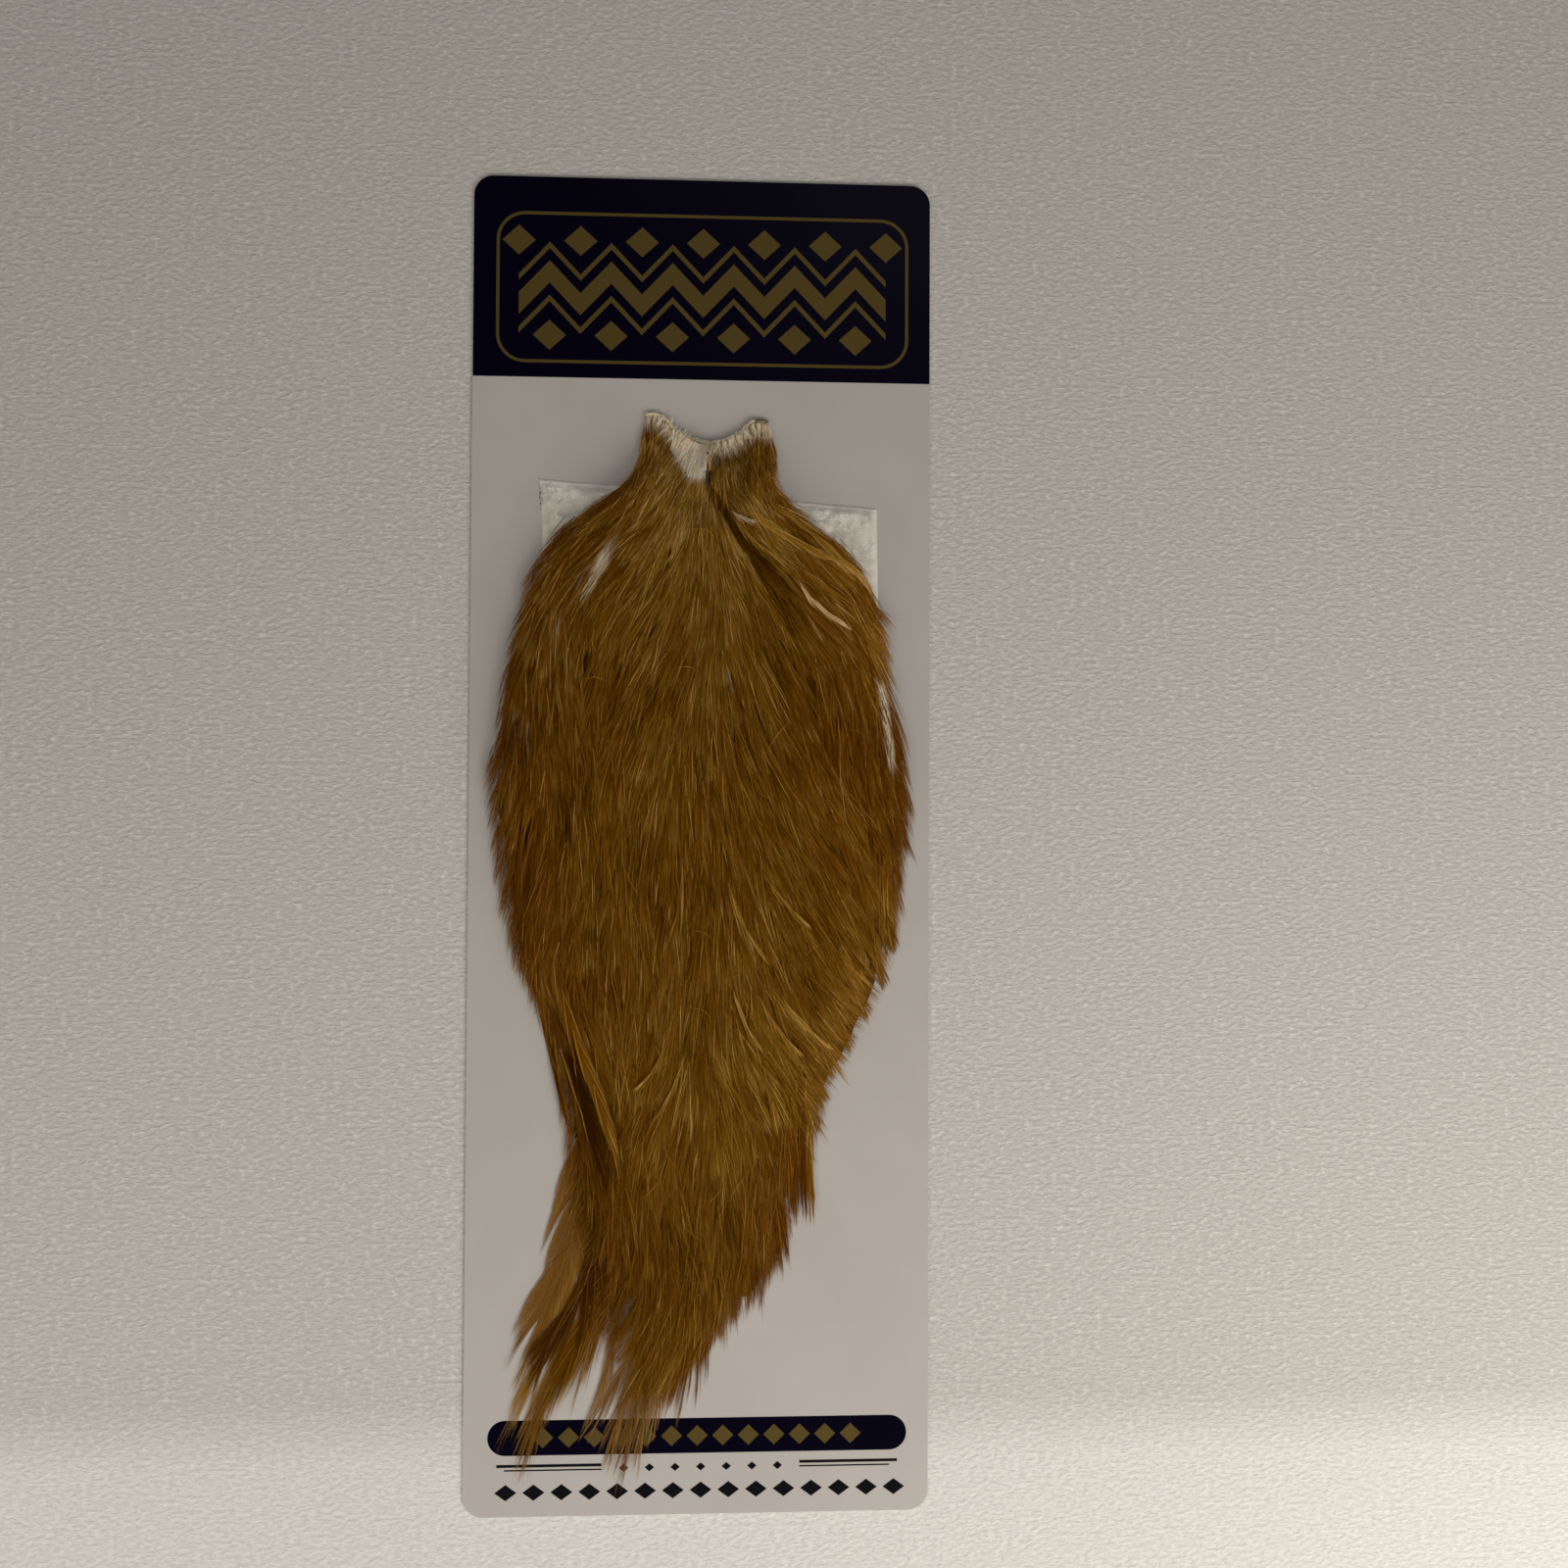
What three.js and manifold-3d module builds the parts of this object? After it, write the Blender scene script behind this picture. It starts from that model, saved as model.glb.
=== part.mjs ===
// A rooster cape on its backing card: a dried neck skin with its plumage, laid over a thin plastic
// sleeve and held to a printed board by a staple. The card lies on its back, +Z is up, the origin is
// the middle of the card's underside, +X runs across the card and +Y runs towards the neck end.
// All sizes are in millimetres.
import * as THREE from "three";
import { mergeVertices } from "three/addons/utils/BufferGeometryUtils.js";
import Module from "manifold-3d";

const wasm = await Module();
wasm.setup();

// Card: a board of 5 by 14.5 inches with rounded corners.
const CARD_WIDTH = 127;
const CARD_LENGTH = 368;
const CARD_THICKNESS = 0.6;
const CARD_CORNER = 5.5;
const NICK_DEPTH = 0.5;
const FIT_GAP = 0.3;

// Sleeve: a folded square of film, higher on the left, that shows on both sides of the neck.
const SLEEVE_TOP_CORNERS = [[-46.2, 99.8], [50.3, 93]];
const SLEEVE_BOTTOM_CORNERS = [[-42.5, 34], [51.5, 32]];
const SLEEVE_EDGE_THICKNESS = 0.7;
const SLEEVE_PUFF = 0.5;
const SLEEVE_EDGE_RISE = 14;
const SLEEVE_CELLS_ACROSS = 9;
const SLEEVE_CELLS_DOWN = 6;
const SLEEVE_UNDERSIDE = CARD_THICKNESS + FIT_GAP;
const SLEEVE_TOP = SLEEVE_UNDERSIDE + SLEEVE_EDGE_THICKNESS + SLEEVE_PUFF;

// Plumage outline, where the feather tips end: height up the card, left edge, right edge.
const OUTLINE = [
  [118.5, -16.5, 19.5], [104, -18.5, 21.3], [98, -23, 23], [86, -37.5, 35.5], [74, -47.5, 47.5],
  [56, -52.8, 52.5], [38, -57, 52.5], [14, -61, 60], [-10, -57.8, 58], [-34, -52, 52],
  [-52, -43.5, 46.5], [-70, -38.5, 36.5], [-94, -39, 31], [-112, -42, 23], [-130, -47, 12],
];

// Mound of plumage: height up the card, left edge, right edge, and crown, the thickness at the middle.
const STATIONS = [
  [118.5, -16.5, 19.5, 1.4],
  [112, -17.2, 20.2, 4],
  [104, -18.5, 21, 5.8],
  [97, -22, 22.3, 6.8],
  [86, -35, 33, 8],
  [74, -43.5, 43.5, 9],
  [56, -49, 48.5, 10],
  [38, -52.5, 49, 10.4],
  [14, -56, 54.5, 10.2],
  [-10, -53, 53, 9.4],
  [-34, -47, 47, 8.4],
  [-52, -38.5, 40, 7.4],
  [-70, -34, 31.5, 6.4],
  [-94, -33.5, 25.5, 4.8],
  [-112, -33, 16, 3.4],
  [-130, -29, 3, 2.3],
  [-148, -25, -8, 1.5],
  [-162, -22, -15, 0.8],
];
const TOP_Y = STATIONS[0][0];
const MOUND_COLUMNS = 10;
const SIDE_THICKNESS = 1.1;
const THINNEST = 0.4;
const SIDE_SLOPE = 0.12;
const MOUND_SQUARENESS = 3.4;

// Collar: the concave cut across the neck, between two ears.
const COLLAR_CENTRE = 1.5;
const COLLAR_HALF_WIDTH = 13.5;
const COLLAR_DEPTH = 7.6;
const COLLAR_FADE = 22;

// Underside: the skin lies on the sleeve, and comes down to the card below it.
const UNDERSIDE_ON_SLEEVE = SLEEVE_TOP + FIT_GAP;
const UNDERSIDE_ON_CARD = CARD_THICKNESS + FIT_GAP;
const STEP_DOWN_FROM = 24;
const STEP_DOWN_TO = 0;
const FLOOR_ROWS = 92;
const FLOOR_BOTTOM = -10;

// Lie of the plumage: x, y, and the way the feathers point there, in degrees from straight down
// towards +X.
const LIE = [
  [-15, 112, -4], [2, 108, 0], [18, 112, 3], [-22, 94, -34], [0, 92, 2], [14, 92, 26], [27, 92, 38],
  [-38, 80, -42], [-16, 76, -12], [4, 74, 4], [22, 74, 34], [40, 78, 42], [-50, 58, -22], [-28, 52, -6],
  [26, 50, 20], [48, 60, 36], [-55, 24, -18], [-28, 16, 0], [0, 20, 3], [28, 14, 14], [54, 24, 12],
  [-54, -8, -16], [-30, -24, 8], [0, -24, 4], [26, -22, 20], [52, -14, 12], [-44, -46, 10], [-16, -60, 4],
  [14, -58, 20], [38, -46, 32], [28, -66, 24], [-32, -84, 4], [-8, -96, 0], [14, -96, 6], [28, -90, 6],
  [-40, -118, -16], [-20, -130, -8], [0, -126, 0], [-44, -150, -8], [-18, -158, -12],
];
const LIE_REACH = 15;

// Locks: the pointed tufts that the plumage falls in, in staggered rows of tips from the neck down.
const LOCK_FIRST_ROW = 88;
const LOCK_LAST_ROW = -98;
const LOCK_ROW_STEP = 18.6;
const LOCK_PITCH = 20;
const LOCK_WIDTH = [15, 17.5];
const LOCK_EDGE_LENGTH = 26;
const LOCK_EDGE_SHARE = 0.6;
const LOCK_LENGTH = [30, 56];
const LOCK_THICKNESS = 2;
const LOCK_RINGS = 4;
const LOCK_INSET = 4;
const LOCK_FULLEST = 0.42;
const LOCK_SINK = 1.8;
const LOCK_LIFT = 0.4;
const LOCK_WANDER = 3;
const LANCE_TAPER = 1.6;
const KEEL_SHARE = 0.25;

// Fringe: the tips of the last locks, from the right side down to the longest and up to the left.
const FRINGE = [
  [45, -53], [37, -74], [25.5, -106], [20, -119], [12.5, -130], [4, -140], [-2.5, -150], [-9, -160],
  [-15, -169], [-20.5, -174], [-24, -163], [-27, -143], [-32, -133], [-40, -121], [14, -112],
  [2, -122], [-9, -136], [-17, -148], [-21, -126],
];
const FRINGE_LENGTH = 50;
const FRINGE_WIDTH = 10.5;

// Parting: the furrow between the middle plumage and the right shoulder, from the neck down.
const PARTING = [[0.6, 108], [1.4, 100], [5.5, 91], [12, 81], [20, 69], [28, 58]];
const PARTING_WIDTH = 2.2;
const PARTING_DEPTH = 3.4;
const PARTING_BED = 0.35;
const PARTING_CLEAR = 6;
const PARTING_STEPS = 10;

// Staple: steel wire that holds the neck to the card, in the furrow.
const STAPLE_X = 1.4;
const STAPLE_TOP_Y = 106.6;
const STAPLE_CROWN = 12;
const STAPLE_WIRE = 0.6;
const STAPLE_CROWN_Z = 6.2;
const STAPLE_FOOT_Z = 0.1;

// Single hackles that lie apart: their middle line from root to tip, width, thickness, and the height
// of their underside above the table at root, middle and tip.
const STREAMERS = {
  hackle_outer: {
    line: [[-35, -72], [-36.5, -92], [-40, -112], [-43.5, -127], [-46.5, -141]],
    width: 11,
    sits: [1.5, 1.1, 1],
  },
  hackle_long: {
    line: [[-30, -112], [-34, -126], [-38.5, -141], [-42.5, -155], [-45.5, -170]],
    width: 12,
    sits: [1.5, 1.1, 1],
  },
  hackle_inner: {
    line: [[-23.5, -122], [-27, -131], [-31, -140], [-35, -149], [-38, -159]],
    width: 8,
    sits: [2.2, 2.2, 2],
  },
  hackle_rust: {
    line: [[30, -64], [31, -76], [31.4, -86], [31.8, -94], [32.6, -103]],
    width: 6.5,
    sits: [1, 1, 1],
  },
};
const STREAMER_THICKNESS = 0.9;
const HACKLE_RINGS = 7;
const HACKLE_FULLEST = 0.4;

// Single hackles that lie on the plumage: their middle line from root to tip, and width.
const RESTING = {
  hackle_pale: { line: [[25, 74], [29, 70], [33, 66], [37, 62.5], [41, 59]], width: 2.4 },
  hackle_twisted: { line: [[-42, -32], [-40, -46], [-35, -62], [-30, -76], [-24.5, -90]], width: 6 },
};
const RESTING_THICKNESS = 1.1;
const RESTING_HEIGHT = 1.9;

// Looks of the plain materials: colour, roughness and metalness.
const LOOKS = {
  card: [0x9d968f, 0.65, 0],
  sleeve: [0xb9b8b0, 0.25, 0],
  plumage: [0x6b4414, 0.6, 0],
  pale: [0xa98a52, 0.6, 0],
  rust: [0x5a2c10, 0.6, 0],
  steel: [0x8c8c8c, 0.35, 1],
};
const LOOK_OF = { hackle_rust: "rust", hackle_pale: "pale" };

const clamp01 = (value) => Math.min(1, Math.max(0, value));
const ease = (t) => t * t * (3 - 2 * t);
const mix = (a, b, t) => a + (b - a) * t;

// The value in one column of a table of rows, between the two rows nearest to the key in column 0.
function between(table, key, column) {
  const falls = table[0][0] > table[table.length - 1][0];
  const rows = falls ? [...table].reverse() : table;
  if (key <= rows[0][0]) return rows[0][column];
  for (let i = 1; i < rows.length; i++) {
    const [low, high] = [rows[i - 1], rows[i]];
    if (key <= high[0]) return mix(low[column], high[column], (key - low[0]) / (high[0] - low[0]));
  }
  return rows[rows.length - 1][column];
}

// Turns a closed geometry into a solid that can be joined and cut.
function solid(geometry) {
  const bare = geometry.clone();
  bare.deleteAttribute("normal");
  bare.deleteAttribute("uv");
  const merged = mergeVertices(bare, 1e-4);
  return new wasm.Manifold(new wasm.Mesh({
    numProp: 3,
    vertProperties: new Float32Array(merged.attributes.position.array),
    triVerts: new Uint32Array(merged.index.array),
  }));
}

// Turns a solid back into a geometry.
function geometryOf(body) {
  const mesh = body.getMesh();
  const geometry = new THREE.BufferGeometry();
  geometry.setAttribute("position", new THREE.BufferAttribute(new Float32Array(mesh.vertProperties), 3));
  geometry.setIndex(new THREE.BufferAttribute(new Uint32Array(mesh.triVerts), 1));
  geometry.computeVertexNormals();
  return geometry;
}

// A closed slab over a grid of cells: two corner functions give its upper and lower skin.
function slab(across, down, upper, lower) {
  const points = [];
  const faces = [];
  const wide = across + 1;
  for (const skin of [upper, lower])
    for (let row = 0; row <= down; row++)
      for (let column = 0; column <= across; column++) points.push(...skin(column / across, row / down));
  const top = (row, column) => row * wide + column;
  const under = (row, column) => (down + 1) * wide + top(row, column);
  const quad = (a, b, c, d) => faces.push(a, b, c, a, c, d);
  for (let row = 0; row < down; row++)
    for (let column = 0; column < across; column++) {
      quad(top(row, column), top(row + 1, column), top(row + 1, column + 1), top(row, column + 1));
      quad(under(row, column), under(row, column + 1), under(row + 1, column + 1), under(row + 1, column));
    }
  for (let row = 0; row < down; row++) {
    quad(top(row, 0), under(row, 0), under(row + 1, 0), top(row + 1, 0));
    quad(top(row + 1, across), under(row + 1, across), under(row, across), top(row, across));
  }
  for (let column = 0; column < across; column++) {
    quad(top(0, column + 1), under(0, column + 1), under(0, column), top(0, column));
    quad(top(down, column), under(down, column), under(down, column + 1), top(down, column + 1));
  }
  const geometry = new THREE.BufferGeometry();
  geometry.setAttribute("position", new THREE.Float32BufferAttribute(points, 3));
  geometry.setIndex(faces);
  return geometry;
}

// How wide a lance-shaped blade is at t from root to tip, as a share of its width.
function lance(t, fullest) {
  return t < fullest ? Math.sqrt(t / fullest) : 1 - Math.pow((t - fullest) / (1 - fullest), LANCE_TAPER);
}

// A pointed blade along a curve: flat edges, a ridge on top where the shaft runs, and a shallow keel.
function blade(line, width, thickness, { rings, fullest, grow = 0 }) {
  const curve = new THREE.CatmullRomCurve3(line);
  const points = [];
  const faces = [];
  const up = new THREE.Vector3(0, 0, 1);
  const root = curve.getPoint(0).addScaledVector(curve.getTangent(0), -grow);
  points.push(root.x, root.y, root.z);
  for (let i = 1; i <= rings; i++) {
    const t = i / (rings + 1);
    const centre = curve.getPoint(t);
    const side = new THREE.Vector3().crossVectors(curve.getTangent(t), up).normalize();
    const swell = lance(t, fullest);
    const half = (width / 2) * swell + grow;
    const high = thickness * (0.4 + 0.6 * swell) + grow;
    const low = thickness * KEEL_SHARE + grow;
    for (const [across, lift] of [[-half, 0], [0, high], [half, 0], [0, -low]])
      points.push(centre.x + side.x * across, centre.y + side.y * across, centre.z + lift);
  }
  const tip = curve.getPoint(1).addScaledVector(curve.getTangent(1), grow);
  points.push(tip.x, tip.y, tip.z);
  const last = points.length / 3 - 1;
  for (let k = 0; k < 4; k++) {
    const next = (k + 1) % 4;
    faces.push(0, 1 + next, 1 + k);
    faces.push(last, last - 4 + k, last - 4 + next);
    for (let i = 0; i < rings - 1; i++) {
      const [a, b] = [1 + 4 * i + k, 1 + 4 * i + next];
      faces.push(a, b, b + 4, a, b + 4, a + 4);
    }
  }
  const geometry = new THREE.BufferGeometry();
  geometry.setAttribute("position", new THREE.Float32BufferAttribute(points, 3));
  geometry.setIndex(faces);
  return solid(geometry);
}

// How far the collar's cut drops below the ears at x.
function collarDrop(x) {
  const off = Math.abs(x - COLLAR_CENTRE) / COLLAR_HALF_WIDTH;
  return off < 1 ? COLLAR_DEPTH * (1 - off * off) : 0;
}

// The underside's height at y.
function undersideAt(y) {
  const up = clamp01((y - STEP_DOWN_TO) / (STEP_DOWN_FROM - STEP_DOWN_TO));
  return mix(UNDERSIDE_ON_CARD, UNDERSIDE_ON_SLEEVE, ease(up));
}

// The plumage's upper surface at x, y, without its locks. It runs down to the sides, and past them.
function surfaceAt(x, y) {
  const [left, right, crown] = [1, 2, 3].map((column) => between(STATIONS, y, column));
  const off = Math.abs(x - (left + right) / 2) / ((right - left) / 2);
  const rise = Math.sqrt(1 - Math.pow(clamp01(off), MOUND_SQUARENESS));
  const past = (Math.max(0, off - 1) * (right - left)) / 2;
  const side = Math.max(THINNEST, SIDE_THICKNESS - past * SIDE_SLOPE);
  return undersideAt(y) + side + Math.max(0, crown - SIDE_THICKNESS) * rise;
}

// The way the feathers lie at x, y, as an angle from straight down towards +X.
function lieAt(x, y) {
  let total = 0;
  let angle = 0;
  for (const [gx, gy, degrees] of LIE) {
    const weight = Math.exp(-((x - gx) ** 2 + (y - gy) ** 2) / (2 * LIE_REACH ** 2));
    total += weight;
    angle += weight * degrees;
  }
  return THREE.MathUtils.degToRad(angle / (total + 1e-12));
}

// The points that a lock follows, found from its tip back to its root.
function followBack(x, y, length, steps) {
  const line = [[x, y]];
  for (let i = 0; i < steps; i++) {
    const angle = lieAt(x, y);
    x -= (Math.sin(angle) * length) / steps;
    y += (Math.cos(angle) * length) / steps;
    const inset = (LOCK_INSET * (i + 1)) / steps;
    x = Math.min(between(STATIONS, y, 2) - inset, Math.max(between(STATIONS, y, 1) + inset, x));
    line.unshift([x, Math.min(y, TOP_Y - collarDrop(x) - LOCK_INSET)]);
  }
  return line;
}

// The mound of plumage on the skin, with the collar cut across its neck end.
function mound() {
  const rows = STATIONS.length - 1;
  const place = (u, v) => {
    const step = v * (STATIONS.length - 1);
    const i = Math.min(Math.floor(step), STATIONS.length - 2);
    const y = mix(STATIONS[i][0], STATIONS[i + 1][0], step - i);
    const x = mix(between(STATIONS, y, 1), between(STATIONS, y, 2), u);
    const fade = clamp01(1 - (TOP_Y - y) / COLLAR_FADE);
    return [x, y, y - collarDrop(x) * fade];
  };
  const upper = (u, v) => {
    const [x, y, cutY] = place(u, v);
    return [x, cutY, surfaceAt(x, y)];
  };
  const lower = (u, v) => {
    const [x, , cutY] = place(u, v);
    return [x, cutY, undersideAt(cutY)];
  };
  return solid(slab(MOUND_COLUMNS, rows, upper, lower));
}

// One lock with its tip at x, y: its root is sunk in the mound, and its tip stands a little clear.
function lock(x, y, length, width) {
  const path = followBack(x, y, length, LOCK_RINGS + 1);
  const line = path.map(([px, py], i) => {
    const lift = mix(-LOCK_SINK, LOCK_LIFT, Math.sqrt(i / (path.length - 1)));
    return new THREE.Vector3(px, py, surfaceAt(px, py) + lift);
  });
  return blade(line, width, LOCK_THICKNESS, { rings: LOCK_RINGS, fullest: LOCK_FULLEST });
}

// All the locks, longer towards the tail end, each row set half a pitch beside the one above.
function locks() {
  const made = FRINGE.map(([x, y]) => lock(x, y, FRINGE_LENGTH, FRINGE_WIDTH));
  for (let row = 0, y = LOCK_FIRST_ROW; y >= LOCK_LAST_ROW; row++, y -= LOCK_ROW_STEP) {
    const [left, right] = [between(OUTLINE, y, 1), between(OUTLINE, y, 2)];
    const count = Math.round((right - left) / LOCK_PITCH);
    const down = (LOCK_FIRST_ROW - y) / (LOCK_FIRST_ROW - LOCK_LAST_ROW);
    const [length, width] = [LOCK_LENGTH, LOCK_WIDTH].map(([neck, tail]) => mix(neck, tail, down));
    const inner = row % 2 ? 0.5 : 0;
    for (let i = 0; i <= count - 2 * inner; i++) {
      const x = mix(left, right, (i + inner) / count);
      const atEdge = inner === 0 && (i === 0 || i === count);
      made.push(lock(x, atEdge ? y : y + LOCK_WANDER * Math.sin(i * 2.4 + row * 1.7), length, width));
    }
    const edges = inner > 0 ? [left, right] : [];
    for (const x of edges) made.push(lock(x, y, LOCK_EDGE_LENGTH, width * LOCK_EDGE_SHARE));
  }
  return made;
}

// The furrow's tool: an open V along the parting, deepest at the neck.
function partingTool() {
  const curve = new THREE.CatmullRomCurve3(PARTING.map(([x, y]) => new THREE.Vector3(x, y, 0)));
  const at = (u, v, width, height) => {
    const p = curve.getPoint(v);
    return [p.x + (u - 0.5) * width, p.y, surfaceAt(p.x, p.y) + height];
  };
  return solid(slab(1, PARTING_STEPS,
    (u, v) => at(u, v, PARTING_WIDTH * 2, PARTING_CLEAR),
    (u, v) => at(u, v, PARTING_WIDTH * PARTING_BED, PARTING_DEPTH * (v * v - 1))));
}

// The staple: its outline in the plane of its legs, crown on top. Grown, it is the tool for its gap.
function staple(grow) {
  const [high, low] = [STAPLE_CROWN_Z + grow, STAPLE_FOOT_Z - grow];
  const [near, far] = [STAPLE_TOP_Y - STAPLE_CROWN - grow, STAPLE_TOP_Y + grow];
  const wire = STAPLE_WIRE + 2 * grow;
  const outline = new THREE.Shape([
    [near, low], [near + wire, low], [near + wire, high - wire], [far - wire, high - wire],
    [far - wire, low], [far, low], [far, high], [near, high],
  ].map(([y, z]) => new THREE.Vector2(y, z)));
  const geometry = new THREE.ExtrudeGeometry(outline, { depth: wire, bevelEnabled: false });
  const standing = new THREE.Matrix4().makeBasis(
    new THREE.Vector3(0, 1, 0), new THREE.Vector3(0, 0, 1), new THREE.Vector3(1, 0, 0));
  return solid(geometry.applyMatrix4(standing).translate(STAPLE_X - wire / 2, 0, 0));
}

// A hackle that lies on the card or sleeve, its underside at the heights that it sits at.
function streamer({ line, width, sits }, grow = 0) {
  const points = line.map(([x, y], i) => {
    const t = i / (line.length - 1);
    const z = t < 0.5 ? mix(sits[0], sits[1], t * 2) : mix(sits[1], sits[2], t * 2 - 1);
    return new THREE.Vector3(x, y, z + STREAMER_THICKNESS * KEEL_SHARE);
  });
  return blade(points, width, STREAMER_THICKNESS, { rings: HACKLE_RINGS, fullest: HACKLE_FULLEST, grow });
}

// A hackle that lies on the plumage.
function resting({ line, width }, grow = 0) {
  const points = line.map(([x, y]) => new THREE.Vector3(x, y, surfaceAt(x, y) + RESTING_HEIGHT));
  return blade(points, width, RESTING_THICKNESS, { rings: HACKLE_RINGS, fullest: HACKLE_FULLEST, grow });
}

// A flat plate with the outline of the points or shape, from height z up.
function plate(outline, z, thickness) {
  const options = { depth: thickness, bevelEnabled: false, curveSegments: 8 };
  return solid(new THREE.ExtrudeGeometry(outline, options).translate(0, 0, z));
}

// The card: rounded corners, a small nick in the one at the top left, and the staple's holes.
function card() {
  const [w, h, r] = [CARD_WIDTH / 2, CARD_LENGTH / 2, CARD_CORNER];
  const outline = new THREE.Shape();
  outline.absarc(w - r, h - r, r, 0, Math.PI / 2);
  outline.absarc(r - w, h - r, r, Math.PI / 2, Math.PI);
  outline.absarc(r - w, r - h, r, Math.PI, Math.PI * 1.5);
  outline.absarc(w - r, r - h, r, Math.PI * 1.5, Math.PI * 2);
  const onArc = r * Math.SQRT1_2;
  const notch = new THREE.Shape([[-1, 0], [0, 0], [0, 1], [-1, 1]].map(([x, y]) => new THREE.Vector2(
    r - w - onArc + NICK_DEPTH * (1 + 2 * x), h - r + onArc + NICK_DEPTH * (2 * y - 0.5))));
  const nick = plate(notch, -CARD_THICKNESS, 3 * CARD_THICKNESS);
  return plate(outline, 0, CARD_THICKNESS).subtract(nick).subtract(staple(FIT_GAP));
}

// The sleeve: flat underneath, with a shallow puff that dies out towards its edges.
function sleeve() {
  const [topLeft, topRight] = SLEEVE_TOP_CORNERS;
  const [bottomLeft, bottomRight] = SLEEVE_BOTTOM_CORNERS;
  const place = (u, v) => [0, 1].map((axis) =>
    mix(mix(topLeft[axis], topRight[axis], u), mix(bottomLeft[axis], bottomRight[axis], u), v));
  const puff = (u, v) => {
    const inside = Math.min(1, SLEEVE_EDGE_RISE * u * (1 - u)) * Math.min(1, SLEEVE_EDGE_RISE * v * (1 - v));
    const ripple = 0.5 + 0.25 * Math.sin(u * 21 + v * 5) + 0.25 * Math.sin(u * 9 - v * 14);
    return SLEEVE_PUFF * inside * ripple;
  };
  return solid(slab(SLEEVE_CELLS_ACROSS, SLEEVE_CELLS_DOWN,
    (u, v) => [...place(u, v), SLEEVE_UNDERSIDE + SLEEVE_EDGE_THICKNESS + puff(u, v)],
    (u, v) => [...place(u, v), SLEEVE_UNDERSIDE])).subtract(staple(FIT_GAP));
}

// What the plumage lies on, as a block up to its underside: no lock reaches into it.
function floor() {
  const place = (u, v) => [mix(-CARD_WIDTH, CARD_WIDTH, u), mix(CARD_LENGTH, -CARD_LENGTH, v) / 2];
  return solid(slab(1, FLOOR_ROWS, (u, v) => {
    const [x, y] = place(u, v);
    return [x, y, undersideAt(y)];
  }, (u, v) => [...place(u, v), FLOOR_BOTTOM]));
}

// The cape: the mound and its locks in one, with the furrow cut and room left for what touches it.
function cape() {
  let body = wasm.Manifold.union([mound(), ...locks()]);
  body = body.subtract(partingTool());
  const neighbours = [
    staple(FIT_GAP),
    ...Object.values(RESTING).map((each) => resting(each, FIT_GAP)),
    ...Object.values(STREAMERS).map((each) => streamer(each, FIT_GAP)),
  ];
  body = body.subtract(wasm.Manifold.union(neighbours));
  body = body.subtract(floor());
  const pieces = body.decompose().sort((a, b) => b.volume() - a.volume());
  return pieces[0];
}

// A named mesh with its plain material.
function piece(name, body, look = "plumage") {
  const [color, roughness, metalness] = LOOKS[look];
  const material = new THREE.MeshStandardMaterial({ color, roughness, metalness, flatShading: true });
  const mesh = new THREE.Mesh(geometryOf(body), material);
  mesh.name = name;
  return mesh;
}

const group = new THREE.Group();
group.add(piece("card", card(), "card"));
group.add(piece("sleeve", sleeve(), "sleeve"));
group.add(piece("cape", cape()));
group.add(piece("neck_staple", staple(0), "steel"));
for (const [name, each] of Object.entries(STREAMERS)) group.add(piece(name, streamer(each), LOOK_OF[name]));
for (const [name, each] of Object.entries(RESTING)) group.add(piece(name, resting(each), LOOK_OF[name]));

export default group;
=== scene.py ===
# %% [markdown]
# # A rooster cape on its card
# A cape is the dried skin of a rooster's neck with all its hackles still on it. This one lies on a
# printed card, over a folded film sleeve, with one staple through the neck. The packed model gives the
# plain solids and the sizes. This lesson puts real feathers, film, print and skin in their place.
# We load the model first, keep its box, and work in millimetres from here on.

import math
from types import SimpleNamespace

import bpy
import numpy as np
from mathutils import Matrix, Vector
from mathutils.bvhtree import BVHTree


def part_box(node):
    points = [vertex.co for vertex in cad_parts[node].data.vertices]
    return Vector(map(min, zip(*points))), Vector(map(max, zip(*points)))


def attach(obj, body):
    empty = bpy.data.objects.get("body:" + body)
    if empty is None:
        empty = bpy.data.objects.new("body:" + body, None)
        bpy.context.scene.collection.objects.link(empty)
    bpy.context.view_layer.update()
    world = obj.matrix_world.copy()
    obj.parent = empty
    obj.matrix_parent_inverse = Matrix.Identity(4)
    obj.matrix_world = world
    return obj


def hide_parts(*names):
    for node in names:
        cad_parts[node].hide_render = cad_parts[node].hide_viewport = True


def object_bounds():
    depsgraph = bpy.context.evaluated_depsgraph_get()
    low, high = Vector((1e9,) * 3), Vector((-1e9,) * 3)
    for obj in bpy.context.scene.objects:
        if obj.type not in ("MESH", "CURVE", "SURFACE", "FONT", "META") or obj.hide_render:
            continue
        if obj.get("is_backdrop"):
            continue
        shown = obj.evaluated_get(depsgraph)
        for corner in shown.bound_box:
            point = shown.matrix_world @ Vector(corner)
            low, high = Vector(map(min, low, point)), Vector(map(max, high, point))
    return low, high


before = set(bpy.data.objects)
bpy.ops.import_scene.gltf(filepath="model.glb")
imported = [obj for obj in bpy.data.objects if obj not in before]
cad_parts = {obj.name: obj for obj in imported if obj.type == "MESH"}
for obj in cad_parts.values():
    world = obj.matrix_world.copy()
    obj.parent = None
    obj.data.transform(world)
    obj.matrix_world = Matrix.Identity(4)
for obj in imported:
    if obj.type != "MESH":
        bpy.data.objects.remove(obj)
cad_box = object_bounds()
MM = 0.001
print("nodes:", sorted(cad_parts))

# %% [markdown]
# ## Camera
# The photograph looks almost straight down on the card, from a little over 43 cm. A lens as long as the
# sensor is wide gives its angle of view. The place and turn of the card in front of the lens were found
# from its four corners, so we write them as the card's pose and turn that round to get the camera's.

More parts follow.
